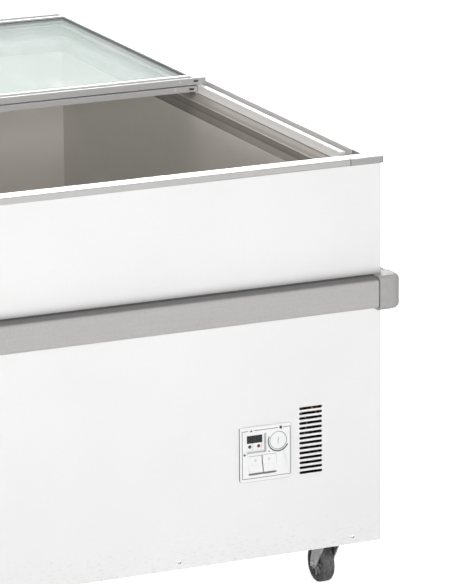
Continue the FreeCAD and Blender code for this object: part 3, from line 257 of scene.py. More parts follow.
def extruded_plastic(name, along, dark, light, speck, roughness, shaded_above=None, shaded_between=None):
    """Extrusion with faint die lines along one axis and dark specks. It may have painted shade above a height,
    so its top is darker, or painted shade that darkens it towards the lower of two heights."""
    stretch = [0.01 if letter == along else 1 for letter in "XYZ"]
    look = Look(name, roughness, sockets=[("Specular IOR Level", 0.2)])
    lines = look.noise(0.0012, stretch, 3)
    mottle = look.noise(0.004, detail=4)
    colour = look.mix(look.spread(mottle, 0, 1, 0.32, 0.68), dark, light)
    colour = look.mix(look.spread(lines, 0, 0.35, 0.4, 0.7), colour, [c * 0.88 for c in dark])
    specks = look.spread(look.cells(0.009), 0.6, 0, 0.05, 0.11)
    colour = look.mix(specks, colour, speck)
    # Painted shade: above this height the colour goes to half its dark tone, a darker top.
    if shaded_above:
        dust_and_shade = look.spread(look.axis("Z"), 0, 1, shaded_above, shaded_above + 3 * MM)
        colour = look.mix(dust_and_shade, colour, [c * 0.5 for c in dark])
    # Painted shade: darker towards the lower of the two heights, with a sharp edge just above the upper one.
    if shaded_between:
        fading_shade = look.spread(look.axis("Z"), 1, 0.35, *shaded_between)
        clear = look.spread(look.axis("Z"), 1, 0, shaded_between[1], shaded_between[1] + 1 * MM)
        colour = look.mix(look.calc("MULTIPLY", fading_shade, clear), colour, [c * 0.56 for c in dark])
    look.paint(colour)
    look.matt(mottle, roughness - 0.06, roughness + 0.08)
    look.bump(look.noise(0.0009, detail=2), 0.00006)
    look.bump(lines, 0.00003)
    return look.material


@filed(0.42, sockets=[("Specular IOR Level", 0.4)])
def bumper_cap_plastic(look):
    """Moulded grey with a slightly coarser grain than the bumper."""
    grain = look.noise(0.0009, detail=3)
    colour = look.mix(look.noise(0.02, detail=4), (0.315, 0.31, 0.305), (0.37, 0.365, 0.36))
    rub = look.spread(look.noise(0.006, (1, 1, 4), 5), 0, 0.3, 0.6, 0.75)
    look.blend(rub, colour, (0.52, 0.515, 0.51))
    look.matt(grain, 0.36, 0.48)
    look.bump(grain, 0.00007)


@filed(0.45)
def panel_plastic(look):
    """White moulding with a fine satin grain."""
    grain = look.noise(0.0005, detail=2)
    look.blend(look.noise(0.01), (0.765, 0.765, 0.763), (0.80, 0.80, 0.797))
    look.matt(grain, 0.38, 0.52)
    look.bump(grain, 0.00003)


@filed(0.16, sockets=[("Specular IOR Level", 0.35)])
def display_dark(look):
    """Smoked window with a faint dot mask under a hard surface."""
    dots = look.spread(look.cells(0.0011), 1, 0, 0.2, 0.5)
    colour = look.mix(dots, (0.011, 0.012, 0.013), (0.018, 0.02, 0.021))
    look.blend(look.spread(look.noise(0.008), 0, 0.3, 0.4, 0.7), colour, (0.03, 0.033, 0.034))
    look.matt(look.noise(0.004), 0.1, 0.24)


def lens(name, deep, bright):
    """Moulded lamp lens with small facets under the surface."""
    look = Look(name, 0.2, sockets=[("Transmission Weight", 0.15), ("IOR", 1.49), ("Coat Weight", 0.4)])
    facets = look.cells(0.0009)
    look.blend(look.spread(facets, 0, 1, 0.1, 0.6), bright, deep)
    look.bump(facets, 0.0001, 0.6)
    return look.material


@filed(0.5)
def dark_plastic(look):
    """Black moulding, dusty in its hollows."""
    dust_and_shade = look.spread(look.noise(0.01, detail=6), 0, 0.4, 0.5, 0.75)
    look.blend(dust_and_shade, (0.022, 0.022, 0.024), (0.13, 0.125, 0.12))
    look.rough(look.spread(dust_and_shade, 0.42, 0.8, 0, 0.4))
    look.bump(look.noise(0.0006), 0.00004)


@filed(0.28, sockets=[("Coat Weight", 0.4)])
def compressor_paint(look):
    """Thick black enamel with runs and orange peel."""
    look.blend(look.noise(0.03, (1, 1, 0.4), 4), (0.012, 0.012, 0.013), (0.035, 0.034, 0.034))
    look.matt(look.noise(0.02), 0.2, 0.42)
    look.bump(look.noise(0.005, (1, 1, 0.5)), 0.00025)


@filed(0.5, 0.4)
def condenser_metal(look):
    """Dark coated fins with bright edges where the coat is thin."""
    thin = look.spread(look.noise(0.003, (1, 1, 0.2), 5), 0, 1, 0.55, 0.75)
    look.blend(thin, (0.03, 0.03, 0.032), (0.24, 0.23, 0.22))
    look.rough(look.spread(thin, 0.55, 0.35))


@filed(0.32, 0.95)
def zinc_steel(look):
    """Bright zinc plate with brushed grain and dull patches."""
    patch = look.noise(0.018, detail=5)
    look.blend(look.spread(patch, 0, 1, 0.35, 0.7), (0.60, 0.61, 0.62), (0.74, 0.735, 0.71))
    look.matt(patch, 0.24, 0.48)
    look.bump(look.noise(0.0008, (1, 1, 0.1)), 0.00003)


@filed(0.75)
def castor_tyre(look):
    """Grey rubber, scuffed and dusty."""
    dust_and_shade = look.spread(look.noise(0.007, detail=6), 0, 0.7, 0.42, 0.7)
    look.blend(dust_and_shade, (0.055, 0.055, 0.058), (0.19, 0.185, 0.175))
    look.rough(look.spread(dust_and_shade, 0.62, 0.88, 0, 0.7))
    look.bump(look.noise(0.0012, detail=4), 0.0001)


@filed(0.04, sockets=[("Alpha", 0.26), ("IOR", 1.52), ("Specular IOR Level", 0.9)])
def lid_glass(look):
    """Toughened pane, faintly green, with wiped smears."""
    smear = look.spread(look.noise(0.07, (1, 0.25, 1), 5), 0, 1, 0.5, 0.72)
    look.blend(smear, (0.62, 0.76, 0.71), (0.82, 0.88, 0.86))
    look.rough(look.spread(smear, 0.02, 0.14))


@filed(0.38, 0.1)
def lid_frame_plastic(look):
    """Grey lid frame with die lines."""
    lines = look.noise(0.0012, (0.6, 0.02, 1), 3)
    look.blend(look.spread(lines, 0, 1, 0.3, 0.7), (0.40, 0.40, 0.40), (0.48, 0.48, 0.475))
    look.matt(look.noise(0.006), 0.32, 0.46)
    look.bump(lines, 0.00003)


@filed(0.5)
def printed_ink(look):
    """Blue-grey ink, thin in small spots."""
    thin = look.spread(look.noise(0.0008, detail=3), 0, 0.25, 0.5, 0.8)
    look.blend(thin, (0.06, 0.082, 0.09), (0.20, 0.235, 0.245))
    look.rough(look.spread(thin, 0.42, 0.6, 0, 0.5))


def tinted_ink(name, colour):
    """Small coloured print."""
    look = Look(name, 0.5)
    look.blend(look.spread(look.noise(0.0007), 0, 0.6, 0.4, 0.8), colour, (0.75, 0.75, 0.75))
    return look.material


def tinted_digits():
    """Unlit segments, barely lighter than the window."""
    look = Look("unlit_segments", 0.3)
    look.blend(look.noise(0.0006), (0.026, 0.028, 0.03), (0.038, 0.041, 0.043))
    return look.material


def trim(name, roughness, patch, dark, light, gloss, metallic=0.0, relief=None):
    """Plain trim, clouded between two colours. gloss is a pattern's size and two roughnesses."""
    look = Look(name, roughness, metallic)
    look.blend(look.noise(patch, detail=4), dark, light)
    size, low, high = gloss
    look.matt(look.noise(size), low, high)
    if relief:
        look.bump(look.noise(relief[0]), relief[1])
    return look.material


def pale_floor():
    look = Look("pale_floor", 0.9)
    look.blend(look.noise(0.6), (0.93, 0.93, 0.93), (0.95, 0.95, 0.95))
    look.feed(look.shader.inputs["Emission Color"], (1, 1, 1, 1))
    path = look.add("LightPath")
    look.feed(look.shader.inputs["Emission Strength"], look.spread(path.outputs["Is Camera Ray"], 0.1, 0.75))
    return look.material


# Roughness, size of the clouds, their two colours, gloss, and for some how metallic they are and their relief
TRIMS = {
    "nylon_hub": (0.48, 0.008, (0.30, 0.305, 0.31), (0.42, 0.42, 0.42), (0.003, 0.4, 0.6), 0,
                  (0.0007, 0.00004)),
    "black_rubber": (0.7, 0.003, (0.02, 0.02, 0.021), (0.06, 0.058, 0.056), (0.002, 0.6, 0.85)),
    # Painted shade: grey skin for the walls of the display recess.
    "recess_painted_shade": (0.6, 0.002, (0.64, 0.64, 0.635), (0.72, 0.72, 0.715), (0.001, 0.5, 0.7)),
    "joint_shadow": (0.7, 0.003, (0.06, 0.052, 0.05), (0.15, 0.135, 0.13), (0.002, 0.6, 0.85)),
    "edge_shadow": (0.45, 0.004, (0.26, 0.25, 0.24), (0.36, 0.35, 0.34), (0.002, 0.36, 0.55), 0.5),
    # Painted highlight: pale strip on the ledge noses.
    "nose_painted_highlight": (0.4, 0.01, (0.46, 0.445, 0.42), (0.51, 0.495, 0.47), (0.002, 0.34, 0.5)),
    # Painted shade: dark strip in the groove at the rail feet.
    "foot_groove_shade": (0.6, 0.004, (0.24, 0.235, 0.23), (0.33, 0.32, 0.31), (0.002, 0.5, 0.75)),
    "end_plug": (0.4, 0.004, (0.78, 0.775, 0.77), (0.86, 0.855, 0.85), (0.001, 0.34, 0.5)),
}
LOOKS.update({
    "green_lens": lens("green_lens", (0.01, 0.07, 0.04), (0.03, 0.22, 0.11)),
    "red_lens": lens("red_lens", (0.14, 0.01, 0.012), (0.38, 0.02, 0.03)),
    "rail_aluminium": anodised_aluminium("rail_aluminium", "Y", None, 0.93, 0.0),
    **{name: trim(name, *values) for name, values in TRIMS.items()},
})
LENGTHWISE = {
    "anodised_aluminium": {"X": anodised_aluminium("aluminium_x", "X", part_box("rim_far")[0].y + 0.3 * MM),
                           "Y": anodised_aluminium("aluminium_y", "Y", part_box("rim_right")[0].x + 0.3 * MM)},
    # The breaker strips take painted shade towards the foot of their ledges.
    "breaker_plastic": {axis: extruded_plastic("breaker_" + axis.lower(), axis, (0.32, 0.29, 0.26),
                                               (0.37, 0.336, 0.303), (0.23, 0.21, 0.19), 0.45, None,
                                               (LEDGE_FOOT, LEDGE_FOOT + 19 * MM))
                        for axis in "XY"},
    # The near and far bumper bars take a darker top, painted shade.
    "bumper_plastic": {axis: extruded_plastic("bumper_" + axis.lower(), axis, (0.395, 0.387, 0.384),
                                              (0.43, 0.42, 0.417), (0.27, 0.26, 0.257), 0.6,
                                              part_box("bumper_near")[1].z - 4 * MM if axis == "X" else None)
                       for axis in "XY"},
}


def dress_frame():
    """Gives every CAD node the look of its record slot. Bars take the one that runs along them."""
    slots = {part["node"]: part["material_slot"] for part in frame["record"]["subparts"]}
    for name, node in frame["nodes"].items():
        slot = slots[name]
        if name.startswith("lid_rail"):
            look = LOOKS["rail_aluminium"]
        elif slot in LENGTHWISE:
            look = LENGTHWISE[slot]["X" if name.endswith(("near", "far")) else "Y"]
        else:
            look = LOOKS[slot]
        node.data.materials.clear()
        node.data.materials.append(look)


# ---------------------------------------------------------------- mesh helpers

def piece(name, slot, look=None, body="cabinet", bevel=0.0):
    """Makes a piece with the function below, which fills in its mesh in place in the CAD frame. It has the
    look of its slot, unless another is given by name or as a material."""
    def make(fill):
        mesh = bpy.data.meshes.new(name)
        shape = bmesh.new()
        fill(shape)
        bmesh.ops.recalc_face_normals(shape, faces=shape.faces)
        shape.to_mesh(mesh)
        shape.free()
        mesh.shade_smooth()
        mesh.set_sharp_from_angle(angle=math.radians(35))
        material = look or slot
        mesh.materials.append(LOOKS[material] if isinstance(material, str) else material)
        item = bpy.data.objects.new(name, mesh)
        bpy.context.scene.collection.objects.link(item)
        if bevel:
            rounding = item.modifiers.new("rounding", "BEVEL")
            rounding.width, rounding.segments = bevel, 2
        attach(item, body)
    return make


def prism(shape, outline, low, high, place):
    """A flat outline between two levels. place turns (a, b, level) into a point."""
    rings = [[shape.verts.new(place(a, b, level)) for a, b in outline] for level in (low, high)]
    shape.faces.new(rings[0])
    shape.faces.new(rings[1][::-1])
    for i in range(len(outline)):
        j = (i + 1) % len(outline)
        shape.faces.new((rings[0][i], rings[1][i], rings[1][j], rings[0][j]))


def lathe(shape, profile, place, steps=40):
    """A closed profile of (radius, level) turned about the level axis."""
    turns = [2 * math.pi * i / steps for i in range(steps)]
    rings = [[shape.verts.new(place(r * math.cos(t), r * math.sin(t), level)) for t in turns]
             for r, level in profile]
    for first, second in zip(rings, rings[1:] + rings[:1]):
        for i in range(steps):
            j = (i + 1) % steps
            shape.faces.new((first[i], second[i], second[j], first[j]))


def turned(shape, profile, place, steps=40):
    """A solid of revolution whose profile starts and ends on the axis."""
    turns = [2 * math.pi * i / steps for i in range(steps)]
    tip, tail = (shape.verts.new(place(0, 0, level)) for _, level in (profile[0], profile[-1]))
    rings = [[shape.verts.new(place(r * math.cos(t), r * math.sin(t), level)) for t in turns]
             for r, level in profile[1:-1]]
    for i in range(steps):
        j = (i + 1) % steps
        shape.faces.new((tip, rings[0][i], rings[0][j]))
        shape.faces.new((tail, rings[-1][j], rings[-1][i]))
        for first, second in zip(rings, rings[1:]):
            shape.faces.new((first[i], second[i], second[j], first[j]))


def wire(name, body, look, points, radius):
    """A round wire or tube along a smooth line through the points."""
    data = bpy.data.curves.new(name, "CURVE")
    data.dimensions = "3D"
    data.bevel_depth, data.bevel_resolution, data.resolution_u = radius, 3, 8
    data.use_fill_caps = True
    line = data.splines.new("BEZIER")
    line.bezier_points.add(len(points) - 1)
    for knot, point in zip(line.bezier_points, points):
        knot.co = point
        knot.handle_left_type = knot.handle_right_type = "AUTO"
    data.materials.append(look)
    item = bpy.data.objects.new(name, data)
    bpy.context.scene.collection.objects.link(item)
    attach(item, body)


def from_above(x, y, z):
    return Vector((x, y, z))


def from_front(x, z, y):
    return Vector((x, y, z))


def mm(*points):
    """Points given in millimetres."""
    return [tuple(value * MM for value in point) for point in points]


def oblong(left, foot, right, top):
    return [(left, foot), (right, foot), (right, top), (left, top)]


def rectangle(x, z, width, height):
    return oblong(x - width / 2, z - height / 2, x + width / 2, z + height / 2)


def arc(x, z, radius, start, end, steps):
    """Points on a circle from one angle to another, in degrees."""
    turns = [math.radians(start + (end - start) * i / steps) for i in range(steps + 1)]
    return [(x + radius * math.cos(t), z + radius * math.sin(t)) for t in turns]


def soften(names, width):
    """Rounds the sharp edges of CAD nodes so that they catch the light."""
    for name in names:
        node = frame["nodes"][name]
        weld = node.modifiers.new("weld", "WELD")
        weld.merge_threshold = 0.01 * MM
        rounding = node.modifiers.new("rounding", "BEVEL")
        rounding.width, rounding.segments = width, 2
        rounding.angle_limit = math.radians(40)
        rounding.harden_normals = True


# ---------------------------------------------------------------- places on the cabinet

def side_place(side, low, high):
    """A function that turns (inwards, along, up) from the outer face of a side into a point."""
    def place(inwards, along, up):
        if side == "near":
            return Vector((along, low.y + inwards, up))
        if side == "far":
            return Vector((along, high.y - inwards, up))
        if side == "left":
            return Vector((low.x + inwards, along, up))
        return Vector((high.x - inwards, along, up))
    return place


def along_axis(side):
    return 0 if side in ("near", "far") else 1


def run_along(shape, side, low, high, outline, start, end):
    """Runs an outline of (inwards, up) along one side of a box."""
    place = side_place(side, low, high)
    prism(shape, outline, start, end, lambda inwards, up, along: place(inwards, along, up))


bezel_low, bezel_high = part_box("control_bezel")
bezel_middle = (bezel_low + bezel_high) / 2


def out_from(face):
    """A function that turns (x, z, out) into a point: millimetres right of and above the bezel's middle, and
    out from this face."""
    def place(x, z, out):
        return Vector((bezel_middle.x + x * MM, face - out * MM, bezel_middle.z + z * MM))
    return place


module_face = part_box("display_module")[0].y
on_bezel, on_module, on_window = map(out_from, (bezel_low.y, module_face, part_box("display_window")[0].y))


def from_bezel(node):
    """Millimetres from the bezel's middle to the middle of a node."""
    low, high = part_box(node)
    return ((low.x + high.x) / 2 - bezel_middle.x) / MM, ((low.z + high.z) / 2 - bezel_middle.z) / MM


# ---------------------------------------------------------------- control panel

INK_HEIGHT = 0.06
PRINT_LEFT, PRINT_RIGHT, PRINT_TOP, PRINT_LINE = -48.7, 50.4, 46.6, 1.15
TRIANGLE_X, FROST_X, MARK_GAP = -30.0, 31.0, 5.6
DIAL_RING, DIAL_RING_WIDTH = 16.8, 0.9
SCALE_RADIUS, SCALE_START, SCALE_END = 19.5, 155, 335
ROCKER_TILT, ROCKER_HALF, ROCKER_FACE, ROCKER_VALLEY = 12, 16, 9, 7
ROCKER_PRINT = {"main_switch": ("main_rocker", (0.10, 0.25, 0.36)),
                "light_switch": ("light_rocker", (0.45, 0.16, 0.14))}
SLOT_LEAN = -4


def ink(shape, outline, place=on_bezel):
    prism(shape, outline, 0, INK_HEIGHT, place)


def panel_print():
    """Frame line with its marks, and the growing scale round the dial."""
    dial_x, dial_z = from_bezel("thermostat_dial")
    left, right, top, line = PRINT_LEFT, PRINT_RIGHT, PRINT_TOP, PRINT_LINE

    @piece("panel_print", "display_dark", "printed_ink")
    def fill(shape):
        for x in (left, right):
            ink(shape, rectangle(x, 0, line, 2 * top))
        ink(shape, rectangle((left + right) / 2, -top, right - left, line))
        stops = [left, TRIANGLE_X - MARK_GAP, TRIANGLE_X + MARK_GAP, FROST_X - MARK_GAP,
                 FROST_X + MARK_GAP, right]
        for start, end in zip(stops[::2], stops[1::2]):
            ink(shape, rectangle((start + end) / 2, top, end - start, line))
        ink(shape, [(TRIANGLE_X - 2.8, top - 2.0), (TRIANGLE_X + 2.8, top - 2.0), (TRIANGLE_X, top + 3.0)])
        for turn in (0, 60, 120):
            tips = [(2.0, turn - 75), (4.2, turn), (2.0, turn + 75), (2.0, turn + 105),
                    (4.2, turn + 180), (2.0, turn + 255)]
            ink(shape, [(FROST_X + r * math.cos(math.radians(t)), top + r * math.sin(math.radians(t)))
                  for r, t in tips])
        diamond = left + 4.6
        ink(shape, [(diamond - 2.9, 0.8), (diamond, -2.1), (diamond + 2.9, 0.8), (diamond, 3.7)])
        ink(shape, rectangle(diamond + 3.4, 0.8, 3.0, 0.8))
        ink(shape, [(4.6, 1.2), (8.4, 1.2), (6.5, 4.8)])

    @piece("dial_scale", "display_dark", "printed_ink")
    def scale(shape):
        steps = 36
        inner = arc(dial_x, dial_z, SCALE_RADIUS, SCALE_START, SCALE_END, steps)
        outer = [(x + (x - dial_x) * grow, z + (z - dial_z) * grow) for (x, z), grow in
                 zip(inner, [0.12 + 0.02 * i / steps for i in range(steps + 1)])]
        for i in range(steps):
            ink(shape, [inner[i], inner[i + 1], outer[i + 1], outer[i]])
        ink(shape, arc(*outer[0], 0.8, 0, 330, 11))

    @piece("dial_surround", "display_dark", "printed_ink")
    def ring(shape):
        radius = [DIAL_RING, DIAL_RING + DIAL_RING_WIDTH]
        profile = oblong(radius[0], -0.3, radius[1], INK_HEIGHT)
        lathe(shape, profile, lambda a, b, out: on_bezel(dial_x + a, dial_z + b, out), 72)


def display_details():
    """Ticks beside the lamps, lamp rims and the unlit digits behind the window."""
    @piece("lamp_ticks", "display_dark", tinted_ink("faded_ink", (0.22, 0.235, 0.24)))
    def ticks(shape):
        for lamp in ("green_lamp", "red_lamp"):
            x, z = from_bezel(lamp)
            right = x + 6.4
            ink(shape, rectangle(right, z + 0.4, 0.8, 10.5), on_module)
            for end in (-4.9, 5.7):
                ink(shape, rectangle(right - 1.0, z + end, 1.4, 0.7), on_module)

    for lamp in ("green_lamp", "red_lamp"):
        x, z = from_bezel(lamp)

        @piece(lamp + "_rim", lamp.replace("lamp", "lens"))
        def rim(shape):
            profile = [(2.92, 0), (2.92, 0.35), (3.05, 0.5), (3.25, 0.35), (3.35, 0)]
            lathe(shape, profile, lambda a, b, out: on_module(x + a, z + b, out), 40)

    x, z = from_bezel("display_window")
    width, height, half, gap, pitch, lean = 5.4, 9.6, 0.475, 0.55, 9.2, 0.12

    @piece("unlit_digits", "display_dark", tinted_digits())
    def digits(shape):
        for middle in (x - pitch, x, x + pitch):
            for level, a, b in ((True, 0, 1), (True, 0, 0), (True, 0, -1), (False, -1, 0.5), (False, 1, 0.5),
                                (False, -1, -0.5), (False, 1, -0.5)):
                reach = (width if level else height / 2) / 2 - gap
                bone = [(-reach, 0), (-reach + half, -half), (reach - half, -half), (reach, 0),
                        (reach - half, half), (-reach + half, half)]
                if not level:
                    bone = [(-q, p) for p, q in bone]
                at_x, at_z = a * width / 2, b * height / 2
                outline = [(middle + at_x + p + lean * (at_z + q), z + at_z + q) for p, q in bone]
                prism(shape, outline, 0, INK_HEIGHT / 2, on_window)


def bezel_painted_shade():
    """Black rubber strip round the foot of the bezel, open along its top, that stands in for the shadow gap there
    as painted shade, and a grey skin of painted shade on the right and bottom walls of its recess.
    """
    wide, high = (bezel_high.x - bezel_low.x) / MM / 2, (bezel_high.z - bezel_low.z) / MM / 2
    foot = (bezel_low.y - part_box("control_end_panel")[0].y) / MM

    def outline(grow, corner):
        x, z = wide + grow - corner, high + grow - corner
        return [spot for a, b, start in ((x, z, 0), (-x, z, 90), (-x, -z, 180), (x, -z, 270))
                for spot in arc(a, b, corner, start, start + 90, 5)]

    # Painted shade: a black strip at the bezel's foot, left open along the top, gives the shadow gap round the
    # bezel.
    @piece("bezel_painted_shade", "castor_tyre", "black_rubber")
    def fill(shape):
        outer, inner = outline(0.08, 5.1), outline(-1, 4)
        for i in range(len(outer)):
            j = (i + 1) % len(outer)
            if min(outer[i][1], outer[j][1]) < high - 3:
                prism(shape, [inner[i], inner[j], outer[j], outer[i]], foot - 0.2, -2.2, on_bezel)

    low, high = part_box("display_module")
    skin, depth = 0.12 * MM, 0.1 * MM

    # Painted shade: a grey skin on the recess's right and bottom walls.
    @piece("recess_painted_shade", "cap_plastic", "recess_painted_shade")
    def shade_skin(shape):
        for outline in (oblong(high.x - skin, low.z, high.x + depth, high.z),
                        oblong(low.x, low.z - depth, high.x, low.z + skin)):
            prism(shape, outline, module_face, bezel_low.y + 0.7 * MM, from_front)


def dial_slot():
    """Curved floor of the coin slot, a lens in plan, dark grey as painted shade in the slot."""
    low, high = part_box("thermostat_dial")
    middle = (low + high) / 2
    lean = math.radians(SLOT_LEAN)

    def on_dial(a, b, out):
        across = a * math.cos(lean) - b * math.sin(lean)
        upwards = a * math.sin(lean) + b * math.cos(lean)
        return Vector((middle.x + across * MM, low.y - out * MM, middle.z + upwards * MM))

    half, steps = 8.4, 14
    levels = [-1 + 2 * i / steps for i in range(steps + 1)]

    @piece("coin_slot_cheeks", "panel_plastic", body="dial")
    def cheeks(shape):
        for first, second in zip(levels, levels[1:]):
            for sign in (-1, 1):
                near = [(sign * (0.2 + 0.75 * (1 - t * t)), t * half) for t in (first, second)]
                wall = [(sign * 1.22, second * half), (sign * 1.22, first * half)]
                prism(shape, near + wall, -1.9, -0.12, on_dial)

    # Painted shade: the slot's floor is dark grey, as the slot's shadow.
    @piece("coin_slot_shade", "dark_plastic", tinted_ink("slot_shade", (0.30, 0.31, 0.31)), body="dial")
    def fill(shape):
        right = [(0.15 + 0.95 * (1 - t * t), t * half) for t in levels]
        left = [(-0.2 - 0.35 * (1 - t * t), t * half) for t in reversed(levels)]
        prism(shape, right + left, -1.9, -0.5, on_dial)


def rocker_marks():
    """Coloured print on the upper half of each rocker, on the tilted face."""
    for joint in frame["joints"]:
        if joint["child"] not in ROCKER_PRINT:
            continue
        node, colour = ROCKER_PRINT[joint["child"]]
        pivot = Vector(joint["pos_m"])
        tilt = Matrix.Rotation(-math.radians(ROCKER_TILT), 3, "X")
        high = ROCKER_HALF * 0.45
        depth = ROCKER_VALLEY + (ROCKER_FACE - ROCKER_VALLEY) * high / ROCKER_HALF
        face = Matrix.Rotation(math.atan((ROCKER_FACE - ROCKER_VALLEY) / ROCKER_HALF), 3, "X")

        def on_rocker(a, b, out):
            point = face @ Vector((a, -out, b)) + Vector((0, -depth, high))
            return pivot + tilt @ point * MM

        @piece(node + "_mark", "display_dark", tinted_ink(node + "_ink", colour), body=joint["child"])
        def fill(shape):
            ring = arc(0, 0, 2.1, 110, 430, 16) + arc(0, 0, 1.5, 430, 110, 16)
            ink(shape, ring, on_rocker)
            ink(shape, rectangle(0, 1.7, 0.6, 2.6), on_rocker)


# ---------------------------------------------------------------- joints and seals of the body

JOINT_WIDTH, JOINT_PROUD = 1.7 * MM, 0.2 * MM
RIM_SKIRT, BUMPER_ROUND = 13.4 * MM, 8 * MM
LINER_SHEET = 1.5 * MM
NOSE_INSET, NOSE_DROP = 74.5 * MM, 32.5 * MM


def joint_strip(shape, profile, along, place):
    """A thin dark strip that follows an open profile of (inwards, up) round a bar."""
    outer = []
    for i, point in enumerate(profile):
        before, after = profile[max(i - 1, 0)], profile[min(i + 1, len(profile) - 1)]
        run = Vector((after[0] - before[0], after[1] - before[1])).normalized()
        outer.append((point[0] - run.y * JOINT_PROUD, point[1] + run.x * JOINT_PROUD))
    for i in range(len(profile) - 1):
        outline = [profile[i], profile[i + 1], outer[i + 1], outer[i]]
        prism(shape, outline, along - JOINT_WIDTH / 2, along + JOINT_WIDTH / 2,
              lambda inwards, up, level: place(inwards, level, up))


def cap_joints():
    """Dark joint lines where the corner caps meet the rim and the bumper."""
    caps_low, caps_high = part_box("rim_corner_caps")
    bars = {side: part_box("bumper_" + side) for side in SIDES}
    bumper_low = Vector((bars["left"][0].x, bars["near"][0].y, 0))
    bumper_high = Vector((bars["right"][1].x, bars["far"][1].y, 0))

    @piece("rim_joint_lines", "dark_plastic", "joint_shadow")
    def rims(shape):
        for side in SIDES:
            low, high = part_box("rim_" + side)
            axis = along_axis(side)
            thin, depth = (high - low)[1 - axis], 1 * MM
            profile = [(0, high.z - RIM_SKIRT), (0, high.z - depth), (depth, high.z), (thin, high.z),
                       (thin, low.z)]
            place = side_place(side, caps_low, caps_high)
            for end in (low[axis] - 0.2 * MM, high[axis] + 0.2 * MM):
                joint_strip(shape, profile, end, place)

    @piece("bumper_joint_lines", "dark_plastic", "joint_shadow")
    def bumpers(shape):
        for side in SIDES:
            low, high = bars[side]
            axis, radius = along_axis(side), BUMPER_ROUND
            depth = (high - low)[1 - axis]
            round_top = arc(radius, high.z - radius, radius, 180, 90, 6)
            round_low = arc(radius, low.z + radius, radius, 270, 180, 6)
            profile = [(depth, low.z), *round_low, *round_top, (depth, high.z)]
            place = side_place(side, bumper_low, bumper_high)
            for end in (low[axis] + 0.55 * MM, high[axis] - 0.55 * MM):
                joint_strip(shape, profile, end, place)


def bumper_seals():
    """Rubber beads that close the bumper to the cabinet walls, above and below; their black also stands in for the
    shadow in that joint, as painted shade.
    """
    body_low, body_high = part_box("control_end_panel")[0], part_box("far_end_panel")[1]
    radius, height = 2.6 * MM, 3.2 * MM
    for side in SIDES:
        low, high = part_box("bumper_" + side)
        reach = body_high[along_axis(side)]

        # Partly painted shade: the black beads also give the dark shadow line where the bumper meets the wall.
        @piece(f"bumper_shade_bead_{side}", "castor_tyre", "black_rubber")
        def fill(shape):
            for level, sign in ((high.z, 1), (low.z, -1)):
                ring = [(0, level - sign * radius)]
                for turn in (0, math.pi / 6, math.pi / 3, math.pi / 2):
                    ring.append((-radius * math.cos(turn), level + sign * height * math.sin(turn)))
                run_along(shape, side, body_low, body_high, ring, -reach, reach)


def rim_edges():
    """Shadow line where each rim bar's top meets its front."""
    caps_low, caps_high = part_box("rim_corner_caps")
    proud = 0.12 * MM

    @piece("rim_edge_lines", "anodised_aluminium", "edge_shadow")
    def fill(shape):
        for side in SIDES:
            low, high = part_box("rim_" + side)
            axis = along_axis(side)
            outline = [(-proud, high.z - 1.9 * MM), (-proud, high.z - 1.0 * MM),
                       (0.7 * MM, high.z - 0.2 * MM), (0.7 * MM, high.z - 1.9 * MM)]
            run_along(shape, side, caps_low, caps_high, outline, low[axis], high[axis])


def liner_flange():
    """Top fold of the liner, laid over the foot of the ledge strips."""
    low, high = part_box("inner_liner")
    skin, fold = 0.15 * MM, 2.2 * MM
    face_low, face_high = low + Vector((LINER_SHEET,) * 3), high - Vector((LINER_SHEET,) * 3)

    @piece("liner_flange", "liner_sheet")
    def fill(shape):
        outline = [(-1 * MM, high.z - 1 * MM), (skin, high.z - 1 * MM), (skin, high.z + fold - skin),
                   (0, high.z + fold), (-1 * MM, high.z + fold)]
        for side in SIDES:
            reach = face_high[along_axis(side)]
            run_along(shape, side, face_low, face_high, outline, -reach, reach)


def ledge_noses():
    """Pale satin strip along the nose of each ledge, where the strips turn down into the well, as a painted
    highlight on the rounded nose.
    """
    caps_low, caps_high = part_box("rim_corner_caps")
    proud = 0.3 * MM

    # Painted highlight: a pale strip on the rounded nose of each ledge.
    @piece("ledge_painted_highlight", "breaker_plastic", "nose_painted_highlight")
    def fill(shape):
        level, face = caps_high.z - NOSE_DROP, NOSE_INSET + proud
        outline = [(NOSE_INSET - 0.9 * MM, level - 1.2 * MM), (face - 0.2 * MM, level - 0.8 * MM),
                   (face, level), (face - 0.6 * MM, level + 1.3 * MM),
                   (NOSE_INSET - 1.4 * MM, level + 1.9 * MM)]
        for side in SIDES:
            reach = caps_high[along_axis(side)] - NOSE_INSET
            run_along(shape, side, caps_low, caps_high, outline, -reach, reach)


def rail_caps():
    """Pale end plugs of the lid rails, with a rounded nose."""
    for side in ("left", "right"):
        low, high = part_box("lid_rail_" + side)
        inset = 0.4 * MM

        @piece(f"rail_end_plugs_{side}", "cap_plastic", "end_plug", bevel=0.5 * MM)
        def fill(shape):
            for end, sign in ((low.y, -1), (high.y, 1)):
                outline = oblong(low.x - inset, low.z, high.x + inset, high.z + inset)
                levels = sorted((end - sign * 1.0 * MM, end + sign * 2.2 * MM))
                prism(shape, outline, *levels, from_front)


def rail_feet():
    """Dark strip along the inner foot of each lid rail, painted shade that fills the groove there."""
    depth, height = 1.1 * MM, 1.5 * MM
    for side, sign in (("left", 1), ("right", -1)):
        low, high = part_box("lid_rail_" + side)
        face = high.x if sign > 0 else low.x

        # Painted shade: a dark strip fills the groove at the foot of each rail.
        @piece(f"rail_foot_shade_{side}", "castor_tyre", "foot_groove_shade")
        def fill(shape):
            inner, outer = face + sign * 0.15 * MM, face - sign * depth
            outline = [(inner, low.z), (outer, low.z), (outer, low.z + 0.6 * height), (inner, low.z + height)]
            prism(shape, outline, low.y, high.y, from_front)


